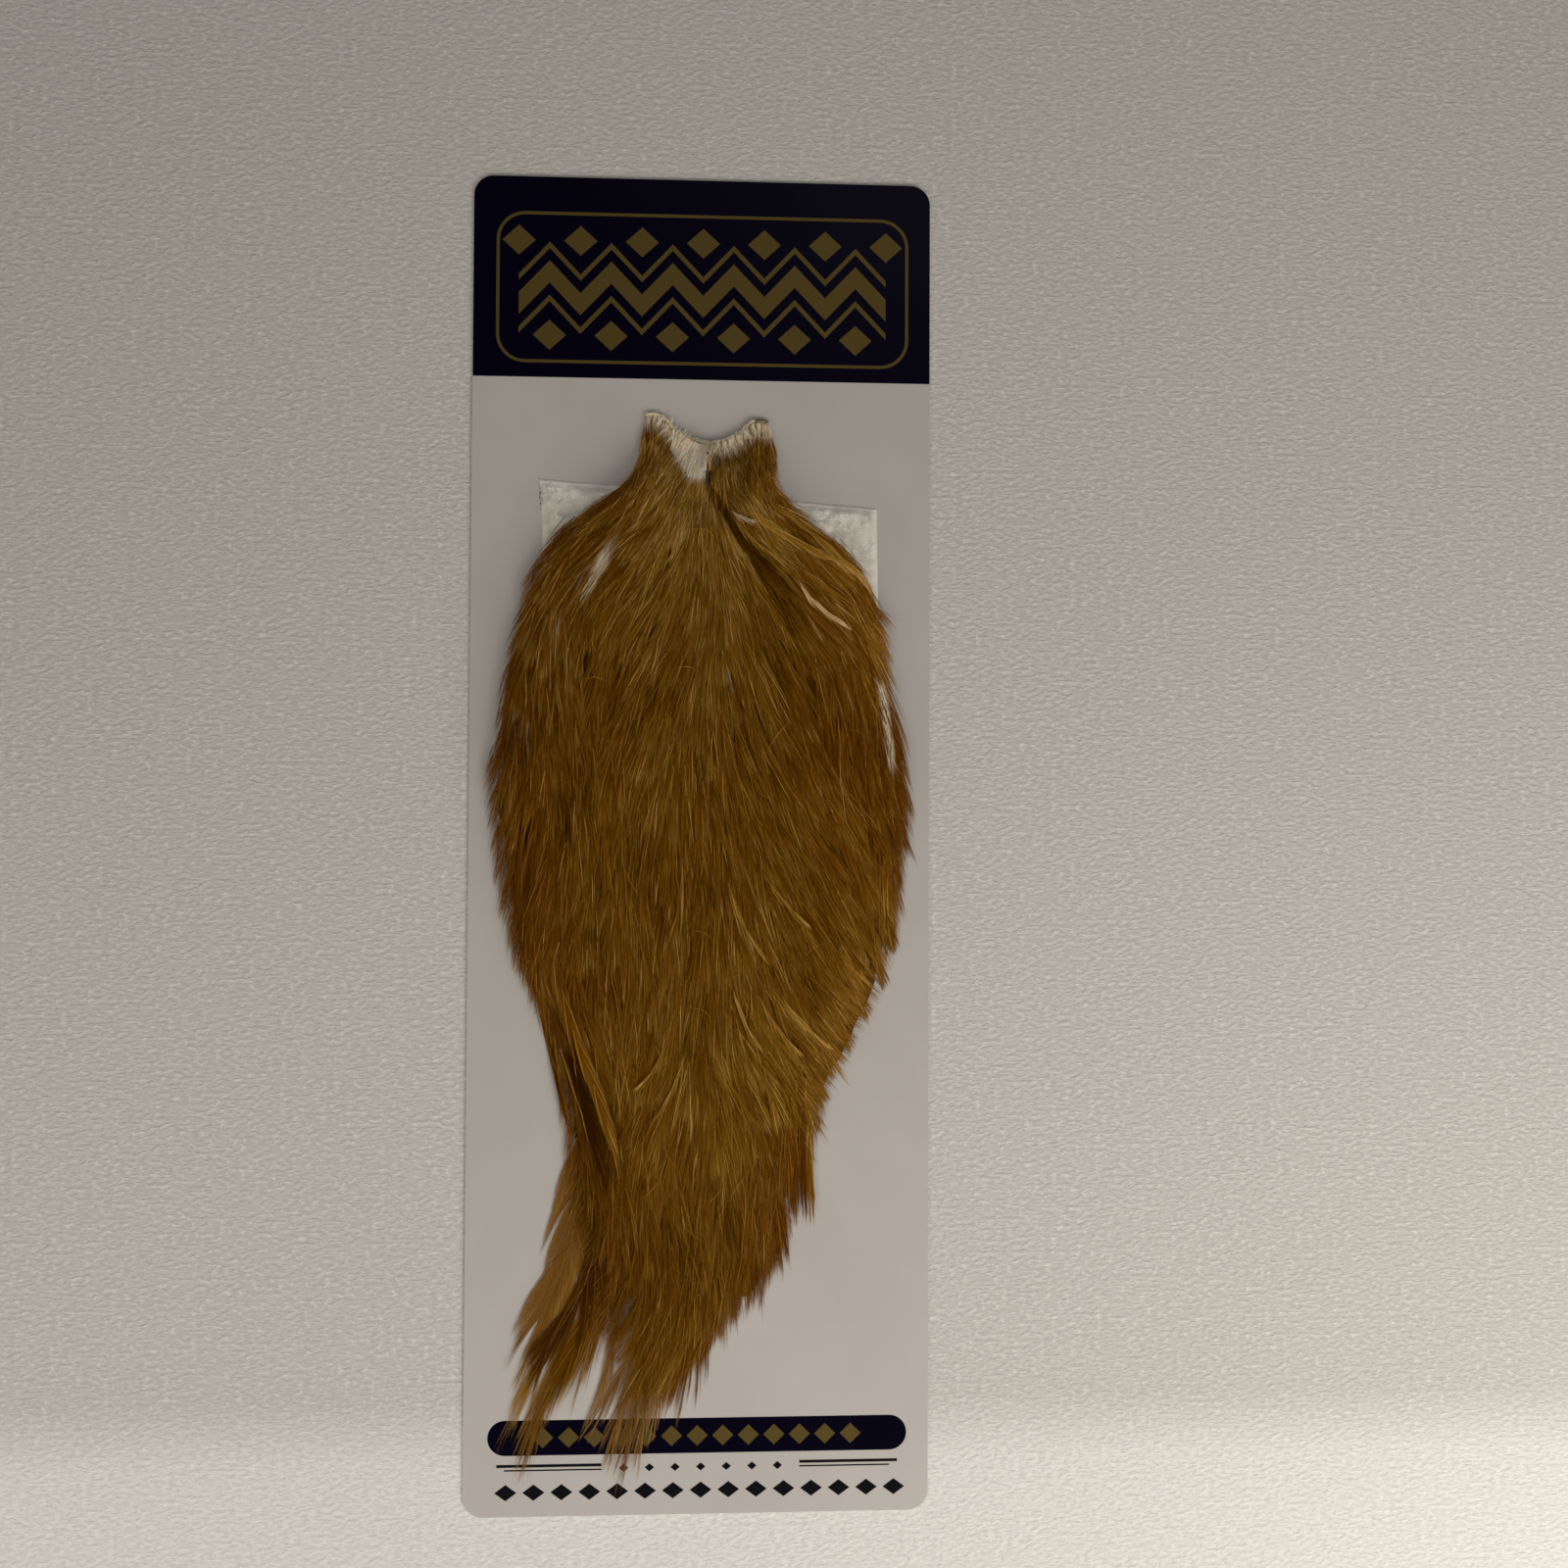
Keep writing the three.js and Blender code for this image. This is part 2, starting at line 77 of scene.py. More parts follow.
# %% Camera
SENSOR_WIDTH = 36.0
NEAREST = 20.0
CARD_TURN = (-1.34, 3.02, -0.27)
CARD_PLACE = (-23.1, -15.6, -433.1)
card_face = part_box("card")[1].z

turn = Vector(math.radians(degrees) for degrees in CARD_TURN)
card_pose = Matrix.Translation(Vector(CARD_PLACE) * MM) @ Matrix.Rotation(turn.length, 4, turn.normalized())
camera = bpy.data.objects.new("camera", bpy.data.cameras.new("camera"))
camera.data.sensor_width = SENSOR_WIDTH
camera.data.lens = SENSOR_WIDTH
camera.data.clip_start = NEAREST * MM
camera.matrix_world = (card_pose @ Matrix.Translation((0, 0, -card_face))).inverted()
bpy.context.scene.collection.objects.link(camera)
bpy.context.scene.camera = camera
print("camera at", [round(value, 3) for value in camera.matrix_world.translation])

# %% [markdown]
# ## A helper for node materials
# Every finish here is made of nodes. The same few moves come back each time: place a texture in the
# object's own millimetres, colour it with a ramp, mix two colours, and turn a grey value into bumps.
# A small class keeps those moves short, so that each material below reads like a recipe.

# %% Finish helper
class Finish:
    """A node material in the making: each method adds one kind of node and returns its output."""

    def __init__(self, name):
        self.material = bpy.data.materials.new(name)
        self.material.use_nodes = True
        self.tree = self.material.node_tree
        self.tree.nodes.clear()
        self.output = self.tree.nodes.new("ShaderNodeOutputMaterial")

    def node(self, kind, inputs=None, **settings):
        made = self.tree.nodes.new(kind)
        for name, value in settings.items():
            setattr(made, name, value)
        for name, value in (inputs or {}).items():
            self.feed(made.inputs[name], value)
        return made

    def feed(self, socket, value):
        if isinstance(value, bpy.types.NodeSocket):
            self.tree.links.new(value, socket)
        else:
            socket.default_value = value

    def place(self, stretch=(1.0, 1.0, 1.0)):
        """Object coordinates in millimetres, each axis multiplied by its stretch."""
        coordinates = self.node("ShaderNodeTexCoord").outputs["Object"]
        scale = [value / MM for value in stretch]
        return self.node("ShaderNodeMapping", {"Vector": coordinates, "Scale": scale}).outputs["Vector"]

    def noise(self, scale, stretch=(1.0, 1.0, 1.0), detail=3.0, roughness=0.55):
        inputs = {"Vector": self.place(stretch), "Scale": scale, "Detail": detail, "Roughness": roughness}
        return self.node("ShaderNodeTexNoise", inputs).outputs["Fac"]

    def mark(self, name):
        """A value that was written on each point of the mesh."""
        return self.node("ShaderNodeAttribute", attribute_name=name).outputs["Fac"]

    def ramp(self, source, stops):
        made = self.node("ShaderNodeValToRGB", {"Fac": source})
        elements = made.color_ramp.elements
        while len(elements) < len(stops):
            elements.new(0.5)
        for element, (position, colour) in zip(elements, stops):
            element.position = position
            element.color = (*colour, 1.0)
        return made.outputs["Color"]

    def grey(self, source, low, high, low_value=0.0, high_value=1.0):
        """The source stretched so that low becomes low_value and high becomes high_value."""
        span = {"From Min": low, "From Max": high, "To Min": low_value, "To Max": high_value}
        return self.node("ShaderNodeMapRange", {"Value": source, **span}).outputs["Result"]

    def mix(self, share, first, second):
        """A colour between two: share 0 gives the first and 1 the second."""
        made = self.node("ShaderNodeMix", data_type="RGBA")
        self.feed(made.inputs[0], share)
        for socket, value in ((made.inputs[6], first), (made.inputs[7], second)):
            self.feed(socket, value if isinstance(value, bpy.types.NodeSocket) else (*value, 1.0))
        return made.outputs[2]

    def plus(self, first, second):
        return self.node("ShaderNodeMath", {0: first, 1: second}, operation="ADD").outputs[0]

    def bump(self, height, depth):
        """Bumps that are depth millimetres high where the height goes from 0 to 1."""
        return self.node("ShaderNodeBump", {"Height": height, "Distance": depth * MM}).outputs["Normal"]

    def principled(self, **inputs):
        named = {name.replace("_", " "): value for name, value in inputs.items()}
        return self.node("ShaderNodeBsdfPrincipled", named).outputs["BSDF"]

    def both(self, share, first, second):
        """Two shaders at once: share is the second one's part."""
        return self.node("ShaderNodeMixShader", {0: share, 1: first, 2: second}).outputs[0]

    def done(self, shader):
        self.tree.links.new(shader, self.output.inputs["Surface"])
        return self.material


print("moves of a finish:", *(name for name in vars(Finish) if not name.startswith("_")))

# %% [markdown]
# ## Meshes from arrays
# Thousands of barbs are too many to make one by one. NumPy makes all their corners at once, in
# millimetres, and this helper hands them to Blender in one go, with the values that the materials read.
# It also hangs each piece on the body that it rides on, gives it its material, and hides the packed
# solid that it takes the place of.

# %% Mesh helper
def build_piece(name, points, faces, material, marks=None, smooth=True, replaced=()):
    """A mesh piece from points in mm and arrays of faces. It rides on the one body of the object."""
    mesh = bpy.data.meshes.new(name)
    mesh.vertices.add(len(points))
    mesh.vertices.foreach_set("co", (np.asarray(points, dtype=np.float32) * MM).ravel())
    corners = np.concatenate([np.asarray(each, dtype=np.int32).ravel() for each in faces])
    sizes = np.concatenate([np.full(len(each), len(each[0]), dtype=np.int32) for each in faces if len(each)])
    mesh.loops.add(len(corners))
    mesh.loops.foreach_set("vertex_index", corners)
    mesh.polygons.add(len(sizes))
    mesh.polygons.foreach_set("loop_start", (np.cumsum(sizes) - sizes).astype(np.int32))
    mesh.polygons.foreach_set("use_smooth", np.full(len(sizes), smooth))
    mesh.update(calc_edges=True)
    for mark, values in (marks or {}).items():
        attribute = mesh.attributes.new(name=mark, type="FLOAT", domain="POINT")
        attribute.data.foreach_set("value", np.asarray(values, dtype=np.float32).ravel())
    mesh.materials.append(material)
    piece = bpy.data.objects.new(name, mesh)
    bpy.context.scene.collection.objects.link(piece)
    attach(piece, "root")
    if replaced:
        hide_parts(*replaced)
    triangles = int((sizes - 2).sum())
    print(f"{name}: {triangles} triangles")
    return piece


def ease(value):
    """0 below 0, 1 above 1, and a soft step between."""
    value = np.clip(value, 0.0, 1.0)
    return value * value * (3.0 - 2.0 * value)


print("a quarter of the way, the soft step is at", round(float(ease(0.25)), 3))

# %% [markdown]
# ## Floor
# The card lies on a plain pale floor with a beaded grain, and a pool of light is painted on it beyond the
# card's foot. One noise gives the grain both its colour and its bumps, and the floor's own Y fades the
# painted light in.
# The floor is a stage for the object and no piece of it, so the frame is told that.

# %% Floor
FLOOR_SIZE = 2400.0
FLOOR_DROP = 0.05
FLOOR_BEADS = 0.45
PAINTED_POOL_FROM = (-153.0, -170.0)

floor_finish = Finish("pale_floor")
floor_grain = floor_finish.noise(0.75, stretch=(0.75, 1.3, 1.0), detail=3.0)
floor_colour = floor_finish.ramp(floor_grain, [
    (0.36, (0.57, 0.56, 0.535)), (0.56, (0.63, 0.62, 0.595)), (0.70, (0.78, 0.77, 0.745))])
# a painted pool of light beyond the card's foot
painted_pool_colour = floor_finish.ramp(floor_grain, [(0.36, (0.72, 0.72, 0.70)), (0.66, (0.86, 0.86, 0.84))])
floor_y = floor_finish.node("ShaderNodeSeparateXYZ", {"Vector": floor_finish.place()}).outputs["Y"]
floor_colour = floor_finish.mix(floor_finish.grey(floor_y, *PAINTED_POOL_FROM), floor_colour, painted_pool_colour)
floor_finish.done(floor_finish.principled(
    Base_Color=floor_colour, Roughness=0.6, Normal=floor_finish.bump(floor_grain, FLOOR_BEADS)))

half = FLOOR_SIZE / 2 * MM
floor_corners = [(-half, -half), (half, -half), (half, half), (-half, half)]
floor_mesh = bpy.data.meshes.new("floor")
floor_mesh.from_pydata([(x, y, -FLOOR_DROP * MM) for x, y in floor_corners], [], [(0, 1, 2, 3)])
floor_mesh.materials.append(floor_finish.material)
floor = bpy.data.objects.new("floor", floor_mesh)
bpy.context.scene.collection.objects.link(floor)
floor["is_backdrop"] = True
print("floor:", FLOOR_SIZE, "mm square")

# %% [markdown]
# ## Light
# The light is dim and warm. Two soft lamps stand close by, left and right of the tail end, the right one
# stronger, and a weak third one stands beyond the foot: close lamps fall off quickly, and that makes
# the card lighter towards its foot and its right. A small lamp high up beyond the neck end is mirrored
# as a soft sheen in the dark print. The view transform is the plain one, so that the tones come from
# the lamps alone. Each lamp has its place, the place it faces, its size, its power and its colour.

# %% Light
LAMPS = {
    "key_lamp": ((460, -440, 420), (0, -60, 0), 420, 3.35, (1.0, 0.93, 0.85)),
    "left_lamp": ((-440, -440, 420), (0, -60, 0), 420, 1.28, (1.0, 0.93, 0.84)),
    "foot_lamp": ((80, -820, 800), (0, -100, 0), 700, 0.95, (1.0, 0.93, 0.85)),
    "ceiling_lamp": ((270, 780, 1300), (0, 100, 0), 340, 1.3, (1.0, 0.92, 0.88)),
}
SKY_COLOUR = (0.95, 0.90, 0.83, 1.0)
SKY_STRENGTH = 0.16

for name, (place, target, size, power, colour) in LAMPS.items():
    data = bpy.data.lights.new(name, "AREA")
    data.size = size * MM
    data.energy = power
    data.color = colour
    lamp = bpy.data.objects.new(name, data)
    lamp.location = Vector(place) * MM
    facing = Vector(target) * MM - lamp.location
    lamp.rotation_euler = facing.to_track_quat("-Z", "Y").to_euler()
    bpy.context.scene.collection.objects.link(lamp)
    print(f"{name}: {power} W over {size} mm")
sky = bpy.data.worlds.new("soft_sky")
sky.use_nodes = True
sky.node_tree.nodes["Background"].inputs["Color"].default_value = SKY_COLOUR
sky.node_tree.nodes["Background"].inputs["Strength"].default_value = SKY_STRENGTH
bpy.context.scene.world = sky
bpy.context.scene.view_settings.view_transform = "Standard"

# %% [markdown]
# ## Card and print
# The board is white, with a fine tooth and a slight satin. It keeps its packed solid and only gets a
# finish. Its print is ink: it has no height that you could feel, so each inked area is a flat sheet two
# hundredths of a millimetre above the board, and the gold one as much again above the navy one. The
# ornament is plain: zigzags and lozenges in the same inks.

# %% Card finish
def dress(node, material):
    """Give a solid of the packed model its finish."""
    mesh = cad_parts[node].data
    mesh.materials.clear()
    mesh.materials.append(material)
    print(f"{node}: keeps its solid, in {material.name}")


card_finish = Finish("white_board")
tooth = card_finish.noise(3.0, detail=4.0)
clouds = card_finish.noise(0.03, detail=2.0)
card_colour = card_finish.ramp(clouds, [(0.3, (0.51, 0.49, 0.468)), (0.7, (0.545, 0.525, 0.502))])
card_rough = card_finish.grey(tooth, 0.3, 0.7, 0.42, 0.6)
dress("card", card_finish.done(card_finish.principled(
    Base_Color=card_colour, Roughness=card_rough, Normal=card_finish.bump(tooth, 0.02))))

# %% Inks
INK_SHINE = 0.035
INK_TOOTH = 0.01


def ink(name, dark, light, roughness, metallic):
    """A printed ink: fine mottling, and a gloss that follows the board's tooth."""
    finish = Finish(name)
    speckle = finish.noise(5.0, detail=4.0)
    colour = finish.ramp(speckle, [(0.3, dark), (0.7, light)])
    rough = finish.grey(speckle, 0.3, 0.7, roughness - 0.06, roughness + 0.08)
    return finish.done(finish.principled(
        Base_Color=colour, Roughness=rough, Metallic=metallic, Specular_IOR_Level=INK_SHINE,
        Normal=finish.bump(speckle, INK_TOOTH)))


navy_ink = ink("navy_ink", (0.0005, 0.0003, 0.005), (0.002, 0.001, 0.011), 0.3, 0.0)
gold_ink = ink("gold_ink", (0.095, 0.067, 0.018), (0.13, 0.092, 0.028), 0.5, 0.35)
black_ink = ink("black_ink", (0.003, 0.003, 0.005), (0.008, 0.008, 0.011), 0.3, 0.0)
print("inks:", navy_ink.name, gold_ink.name, black_ink.name)

# %% Print shapes
INK_LIFT = 0.02
print_z = card_face / MM + INK_LIFT


def arc(centre, radius, start, stop, steps=10):
    angles = np.radians(np.linspace(start, stop, steps + 1))
    return np.column_stack([centre[0] + radius * np.cos(angles), centre[1] + radius * np.sin(angles)])


def rounded_box(left, right, low, high, radii):
    """Outline of a box with its own corner radius at top right, top left, bottom left and bottom right."""
    corners = [(right, high, -1, -1), (left, high, 1, -1), (left, low, 1, 1), (right, low, -1, 1)]
    parts = []
    for quarter, ((x, y, inward_x, inward_y), radius) in enumerate(zip(corners, radii)):
        if radius:
            centre = (x + inward_x * radius, y + inward_y * radius)
            parts.append(arc(centre, radius, 90 * quarter, 90 * quarter + 90))
        else:
            parts.append(np.array([[x, y]]))
    return np.concatenate(parts)


def ink_sheet(name, outlines, lift, material):
    """Flat inked areas: each outline is one polygon, in mm, at one height above the board."""
    points = np.concatenate(outlines)
    points = np.column_stack([points, np.full(len(points), print_z + lift)])
    faces = []
    first = 0
    for outline in outlines:
        faces.append(np.arange(first, first + len(outline))[None, :])
        first += len(outline)
    return build_piece(name, points, faces, material, smooth=False)


def ink_line(outer, inner):
    """The quads of a closed line between two outlines with the same number of points."""
    count = len(outer)
    following = (np.arange(count) + 1) % count
    return [np.array([outer[i], outer[j], inner[j], inner[i]]) for i, j in enumerate(following)]


def bar(left, right, low, high):
    return np.array([[left, low], [right, low], [right, high], [left, high]])


def lozenge(x, y, half_width, half_height):
    return np.array([[x - half_width, y], [x, y - half_height], [x + half_width, y], [x, y + half_height]])


print("print lies at", round(print_z, 3), "mm")

# %% Header print
CARD_CORNER = 5.5
PRINT_INSET = 0.05
HEADER_LOW = 128.0
BORDER = (-57.2, 57.4, 132.0, 174.2)
BORDER_RADIUS = 8.0
BORDER_LINE = 0.9
ZIGZAG_Y = 153.0
ZIGZAG_RISE = 9.0
ZIGZAG_PERIOD = 17.0
ZIGZAG_COUNT = 6
ZIGZAG_STROKES = ((7.4, 1.8), (0.0, 6.2), (-7.4, 1.8))
LOZENGE_LIFT = 13.2
LOZENGE = (4.6, 4.2)

card_low, card_high = (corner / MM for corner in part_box("card"))
header = rounded_box(card_low.x + PRINT_INSET, card_high.x - PRINT_INSET, HEADER_LOW,
                     card_high.y - PRINT_INSET, (CARD_CORNER, CARD_CORNER, 0, 0))
ink_sheet("header_print", [header], 0.0, navy_ink)

left, right, low, high = BORDER
outer = rounded_box(left, right, low, high, (BORDER_RADIUS,) * 4)
inner = rounded_box(left + BORDER_LINE, right - BORDER_LINE, low + BORDER_LINE, high - BORDER_LINE,
                    (BORDER_RADIUS - BORDER_LINE,) * 4)
ornament = ink_line(outer, inner)
zigzag_left = -ZIGZAG_PERIOD * ZIGZAG_COUNT / 2
for offset, stroke in ZIGZAG_STROKES:
    for step in range(2 * ZIGZAG_COUNT):
        start, stop = (zigzag_left + ZIGZAG_PERIOD / 2 * (step + end) for end in (0, 1))
        rise = ZIGZAG_RISE * (1 if step % 2 == 0 else -1) / 2
        y = ZIGZAG_Y + offset
        ornament.append(np.array([
            [start, y - rise - stroke / 2], [stop, y + rise - stroke / 2],
            [stop, y + rise + stroke / 2], [start, y - rise + stroke / 2]]))
for step in range(ZIGZAG_COUNT):
    middle = zigzag_left + ZIGZAG_PERIOD * (step + 0.5)
    ornament.append(lozenge(middle, ZIGZAG_Y - LOZENGE_LIFT, *LOZENGE))
    ornament.append(lozenge(middle - ZIGZAG_PERIOD / 2, ZIGZAG_Y + LOZENGE_LIFT, *LOZENGE))
ornament.append(lozenge(-zigzag_left, ZIGZAG_Y + LOZENGE_LIFT, *LOZENGE))
ink_sheet("header_ornament", ornament, INK_LIFT, gold_ink)

# %% Foot print
FOOT_BAR = (-57.0, 57.5, -167.5, -158.0)
FOOT_ROW = (-42, 42, 13)
FOOT_LOZENGE = (2.9, 2.8)
RULES = (
    (-54.5, -26.0, -170.7, -169.9), (-52.4, -26.0, -171.7, -171.3),
    (28.0, 55.0, -170.7, -169.9), (28.0, 52.8, -171.7, -171.3),
)
SMALL_ROW = (-20, 22, 7)
SMALL_ROW_Y = -171.2
SMALL_LOZENGE = (1.3, 1.1)
LABEL_ROW = (-52, 54, 15)
LABEL_Y = -177.5
LABEL_LOZENGE = (3.0, 2.2)


def lozenge_row(row, y, size):
    """Lozenges side by side. The row gives the first x, the last x and how many there are."""
    return [lozenge(x, y, *size) for x in np.linspace(*row)]


left, right, low, high = FOOT_BAR
ink_sheet("foot_bar", [rounded_box(left, right, low, high, ((high - low) / 2,) * 4)], 0.0, navy_ink)
ink_sheet("foot_ornament", lozenge_row(FOOT_ROW, (low + high) / 2, FOOT_LOZENGE), INK_LIFT, gold_ink)
foot_lines = [bar(*rule) for rule in RULES]
foot_lines += lozenge_row(SMALL_ROW, SMALL_ROW_Y, SMALL_LOZENGE)
foot_lines += lozenge_row(LABEL_ROW, LABEL_Y, LABEL_LOZENGE)
ink_sheet("foot_rules", foot_lines, 0.0, black_ink)

# %% [markdown]
# ## The height of the plumage
# The feathers need a surface to lie on. We read it from the packed solid: rays fall on the cape from
# above, once every two millimetres, and the heights that they find are smoothed. Where no ray hits,
# the card or the sleeve is the ground. Beyond the sleeve's top edge the neck sinks back to the card.

# %% Heights from the frame
GRID_STEP = 2.0
RAYS_FROM = 60.0
SKIN_GAP = 0.3
STEP_DOWN_TO = 0.0
STEP_DOWN_FROM = 24.0
NECK_DROP_FROM = 99.0
NECK_DROP_TO = 109.0
SMOOTHING = 1.6
BEYOND_THE_EDGE = 0.9
LYING_NODES = ("cape", "hackle_outer", "hackle_long", "hackle_inner", "hackle_rust")

ground_on_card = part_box("card")[1].z / MM + SKIN_GAP
ground_on_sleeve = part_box("sleeve")[1].z / MM + SKIN_GAP
grid_x = np.arange(card_low.x, card_high.x + GRID_STEP, GRID_STEP)
grid_y = np.arange(card_low.y, card_high.y + GRID_STEP, GRID_STEP)


def solid_ground(y):
    """Height of the packed cape's underside at y."""
    up = ease((y - STEP_DOWN_TO) / (STEP_DOWN_FROM - STEP_DOWN_TO))
    return ground_on_card + (ground_on_sleeve - ground_on_card) * up


def ground(y):
    """The same, but beyond the sleeve's top edge the skin sinks back towards the card."""
    down = ease((y - NECK_DROP_FROM) / (NECK_DROP_TO - NECK_DROP_FROM))
    return solid_ground(y) - (ground_on_sleeve - ground_on_card) * down


def blurred(field, reach):
    """The field smoothed over a reach of so many cells, along both axes."""
    taps = np.arange(-int(3 * reach), int(3 * reach) + 1)
    kernel = np.exp(-taps ** 2 / (2 * reach ** 2))
    kernel /= kernel.sum()
    for axis in (0, 1):
        pads = [(len(taps) // 2,) * 2 if axis == each else (0, 0) for each in (0, 1)]
        padded = np.pad(field, pads, mode="edge")
        field = np.apply_along_axis(lambda line: np.convolve(line, kernel, mode="valid"), axis, padded)
    return field


def thickness_of(nodes):
    """How far the nodes rise above the cape's underside, at each grid point."""
    field = np.full((len(grid_y), len(grid_x)), BEYOND_THE_EDGE)
    for node in nodes:
        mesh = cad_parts[node].data
        tree = BVHTree.FromPolygons([v.co / MM for v in mesh.vertices], [p.vertices for p in mesh.polygons])
        for row, y in enumerate(grid_y):
            for column, x in enumerate(grid_x):
                hit = tree.ray_cast((x, y, RAYS_FROM), (0, 0, -1))[0]
                if hit:
                    field[row, column] = max(field[row, column], hit.z - solid_ground(y))
    return field


def sampled(field, x, y):
    """The field between its grid points, at arrays of x and y."""
    u = np.clip((x - grid_x[0]) / GRID_STEP, 0, len(grid_x) - 1.001)
    v = np.clip((y - grid_y[0]) / GRID_STEP, 0, len(grid_y) - 1.001)
    i, j = u.astype(int), v.astype(int)
    u, v = u - i, v - j
    near = field[j, i] * (1 - u) + field[j, i + 1] * u
    far = field[j + 1, i] * (1 - u) + field[j + 1, i + 1] * u
    return near * (1 - v) + far * v


plumage_thickness = blurred(thickness_of(LYING_NODES), SMOOTHING)
print("plumage is up to", round(float(plumage_thickness.max()), 1), "mm thick")

# %% [markdown]
# ## Outline, collar and furrow
# One table gives the left and right edge of the plumage at each height, and a second one the scooped
# cut of the collar. The plumage is thin at both. The feathers part at the staple, and a furrow runs from
# there to the right shoulder. It is a line of points, each with its depth, its half width and how much
# painted shade darkens its bottom. Its left wall is steep and has a low lip with a painted highlight, and
# its right one is soft. It is pressed into the smoothed heights afterwards, so that it stays crisp.

# %% Outline and collar
OUTLINE = [
    (118.5, -16.3, 19), (111.5, -17.4, 20.2), (104, -18, 21), (101, -19.4, 21.3), (98, -21.6, 21.9),
    (94, -26.6, 24.4), (90, -31.6, 27.8), (86, -36.2, 32.2), (80, -42.3, 39.2), (74, -45.9, 44.4),
    (68, -48.4, 47), (62, -48.9, 49.2), (50, -52.4, 51.4), (38, -53.9, 51.2), (26, -54.7, 52.6),
    (14, -58.3, 56.8), (2, -56.2, 57.8), (-10, -54.9, 54.9), (-22, -53.4, 54.9), (-34, -50.3, 51.9),
    (-46, -43.3, 48), (-58, -39.1, 41.9), (-70, -36.6, 35.3), (-82, -35.8, 31.6), (-94, -34.4, 26.3),
    (-106, -33.4, 25.4), (-118, -30.4, 20.8), (-130, -26.8, 12.9), (-142, -23.3, 0.5), (-151, -21.5, -5.7),
]
COLLAR = [
    (-15.8, 118.3), (-13.5, 118.6), (-11.3, 118.1), (-9.7, 116.1), (-7, 113.5), (-4.1, 111.8),
    (-0.5, 110.7), (2.7, 110.6), (5.7, 111.3), (8.6, 112.5), (10.9, 114), (12.1, 115.3), (13.7, 116.7),
    (15.9, 116.9), (18.3, 116.7),
]
COLLAR_TOP = COLLAR[1][1]
TAIL_END = OUTLINE[-1][0]


def in_table(table, y, column):
    """A column of a table whose rows start with a height, at the heights y."""
    rows = np.array(sorted(table))
    return np.interp(y, rows[:, 0], rows[:, column])


def rim_at(x):
    """Where the collar's cut is at x: the neck end of the skin."""
    return np.interp(x, *np.array(COLLAR).T)


print("the plumage is", round(COLLAR_TOP - TAIL_END, 1), "mm long without its wisps")

# %% Furrow
FURROW = [
    (1.2, 105.6, 0.0, 0.2, 0.2), (1.1, 103.0, 0.3, 0.25, 0.7), (1.0, 101.2, 1.8, 0.35, 1.1),
    (1.0, 97, 3.2, 0.5, 1.1), (2.6, 93.4, 3.0, 0.8, 0.60), (5.6, 88.6, 2.8, 1.1, 0.52),
    (8.8, 82.6, 2.6, 1.5, 0.46), (13.1, 76.6, 2.3, 2.0, 0.40), (16.8, 69.6, 1.9, 2.7, 0.32),
    (19.5, 64.2, 1.4, 3.2, 0.24), (22.4, 59.4, 0.7, 3.4, 0.12), (24.8, 53.0, 0.0, 3.4, 0.0),
]
LEFT_WALL = 0.6
RIGHT_WALL = 0.4
BOTTOM_REACH = 1.4
LIP_REACH = 1.3


def near_line(x, y, line):
    """Distance of each x, y from a line of rows (x, y, ...), plus to its right, and the rest of its row."""
    best = np.full(np.shape(x), np.inf)
    side = np.ones(np.shape(x))
    values = [np.zeros(np.shape(x)) for _ in line[0][2:]]
    for (ax, ay, *first), (bx, by, *second) in zip(line, line[1:]):
        along = ((x - ax) * (bx - ax) + (y - ay) * (by - ay)) / ((bx - ax) ** 2 + (by - ay) ** 2)
        along = np.clip(along, 0.0, 1.0)
        away = np.hypot(x - ax - along * (bx - ax), y - ay - along * (by - ay))
        closer = away < best
        best = np.where(closer, away, best)
        side = np.where(closer, np.sign((bx - ax) * (y - ay) - (by - ay) * (x - ax)), side)
        for k, (start, stop) in enumerate(zip(first, second)):
            values[k] = np.where(closer, start + along * (stop - start), values[k])
    return best * side, values


def in_furrow(off, half_width):
    """1 in the bottom of the furrow, 0 beyond it: steep at its left wall and softer at its right one."""
    beyond = ease((off - BOTTOM_REACH * half_width) / (half_width + RIGHT_WALL))
    return ease(off / LEFT_WALL + 0.5) * (1 - beyond)


def on_lip(off):
    return np.exp(-((off + LIP_REACH) / LIP_REACH) ** 2)


print("the furrow is up to", max(depth for _, _, depth, _, _ in FURROW), "mm deep")

# %% Surface
LIP_RISE = 0.2
LIP_PAINTED_LIGHT = 0.3
THIN_EDGE = 0.35
FLANK = 8.0
FLANK_BEYOND = 1.5
RIM_SLOPE = 15.0
THIN_RIM = 0.75
NECK_START = 2.2
NECK_SLOPE = 0.06
NECK_CURVE = 0.008


def rise(x, y):
    """How much of its thickness the plumage has at x, y: it thins out towards its sides and its cut."""
    inside = np.minimum(x - in_table(OUTLINE, y, 1), in_table(OUTLINE, y, 2) - x)
    beside = THIN_EDGE + (1 - THIN_EDGE) * ease((inside + FLANK_BEYOND) / FLANK)
    return beside * (THIN_RIM + (1 - THIN_RIM) * ease((rim_at(x) - y) / RIM_SLOPE))


def surface(x, y):
    """Height of the plumage's outer surface at x, y. Near the cut, the neck's own thickness limits it."""
    off, (depth, half_width, _) = near_line(x, y, FURROW)
    from_rim = np.maximum(rim_at(x) - y, 0.0)
    neck = NECK_START + NECK_SLOPE * from_rim + NECK_CURVE * from_rim ** 2
    thickness = np.minimum(sampled(plumage_thickness, x, y), neck) * rise(x, y)
    lip = LIP_RISE * depth * on_lip(off)
    return ground(y) + thickness - depth * in_furrow(off, half_width) + lip


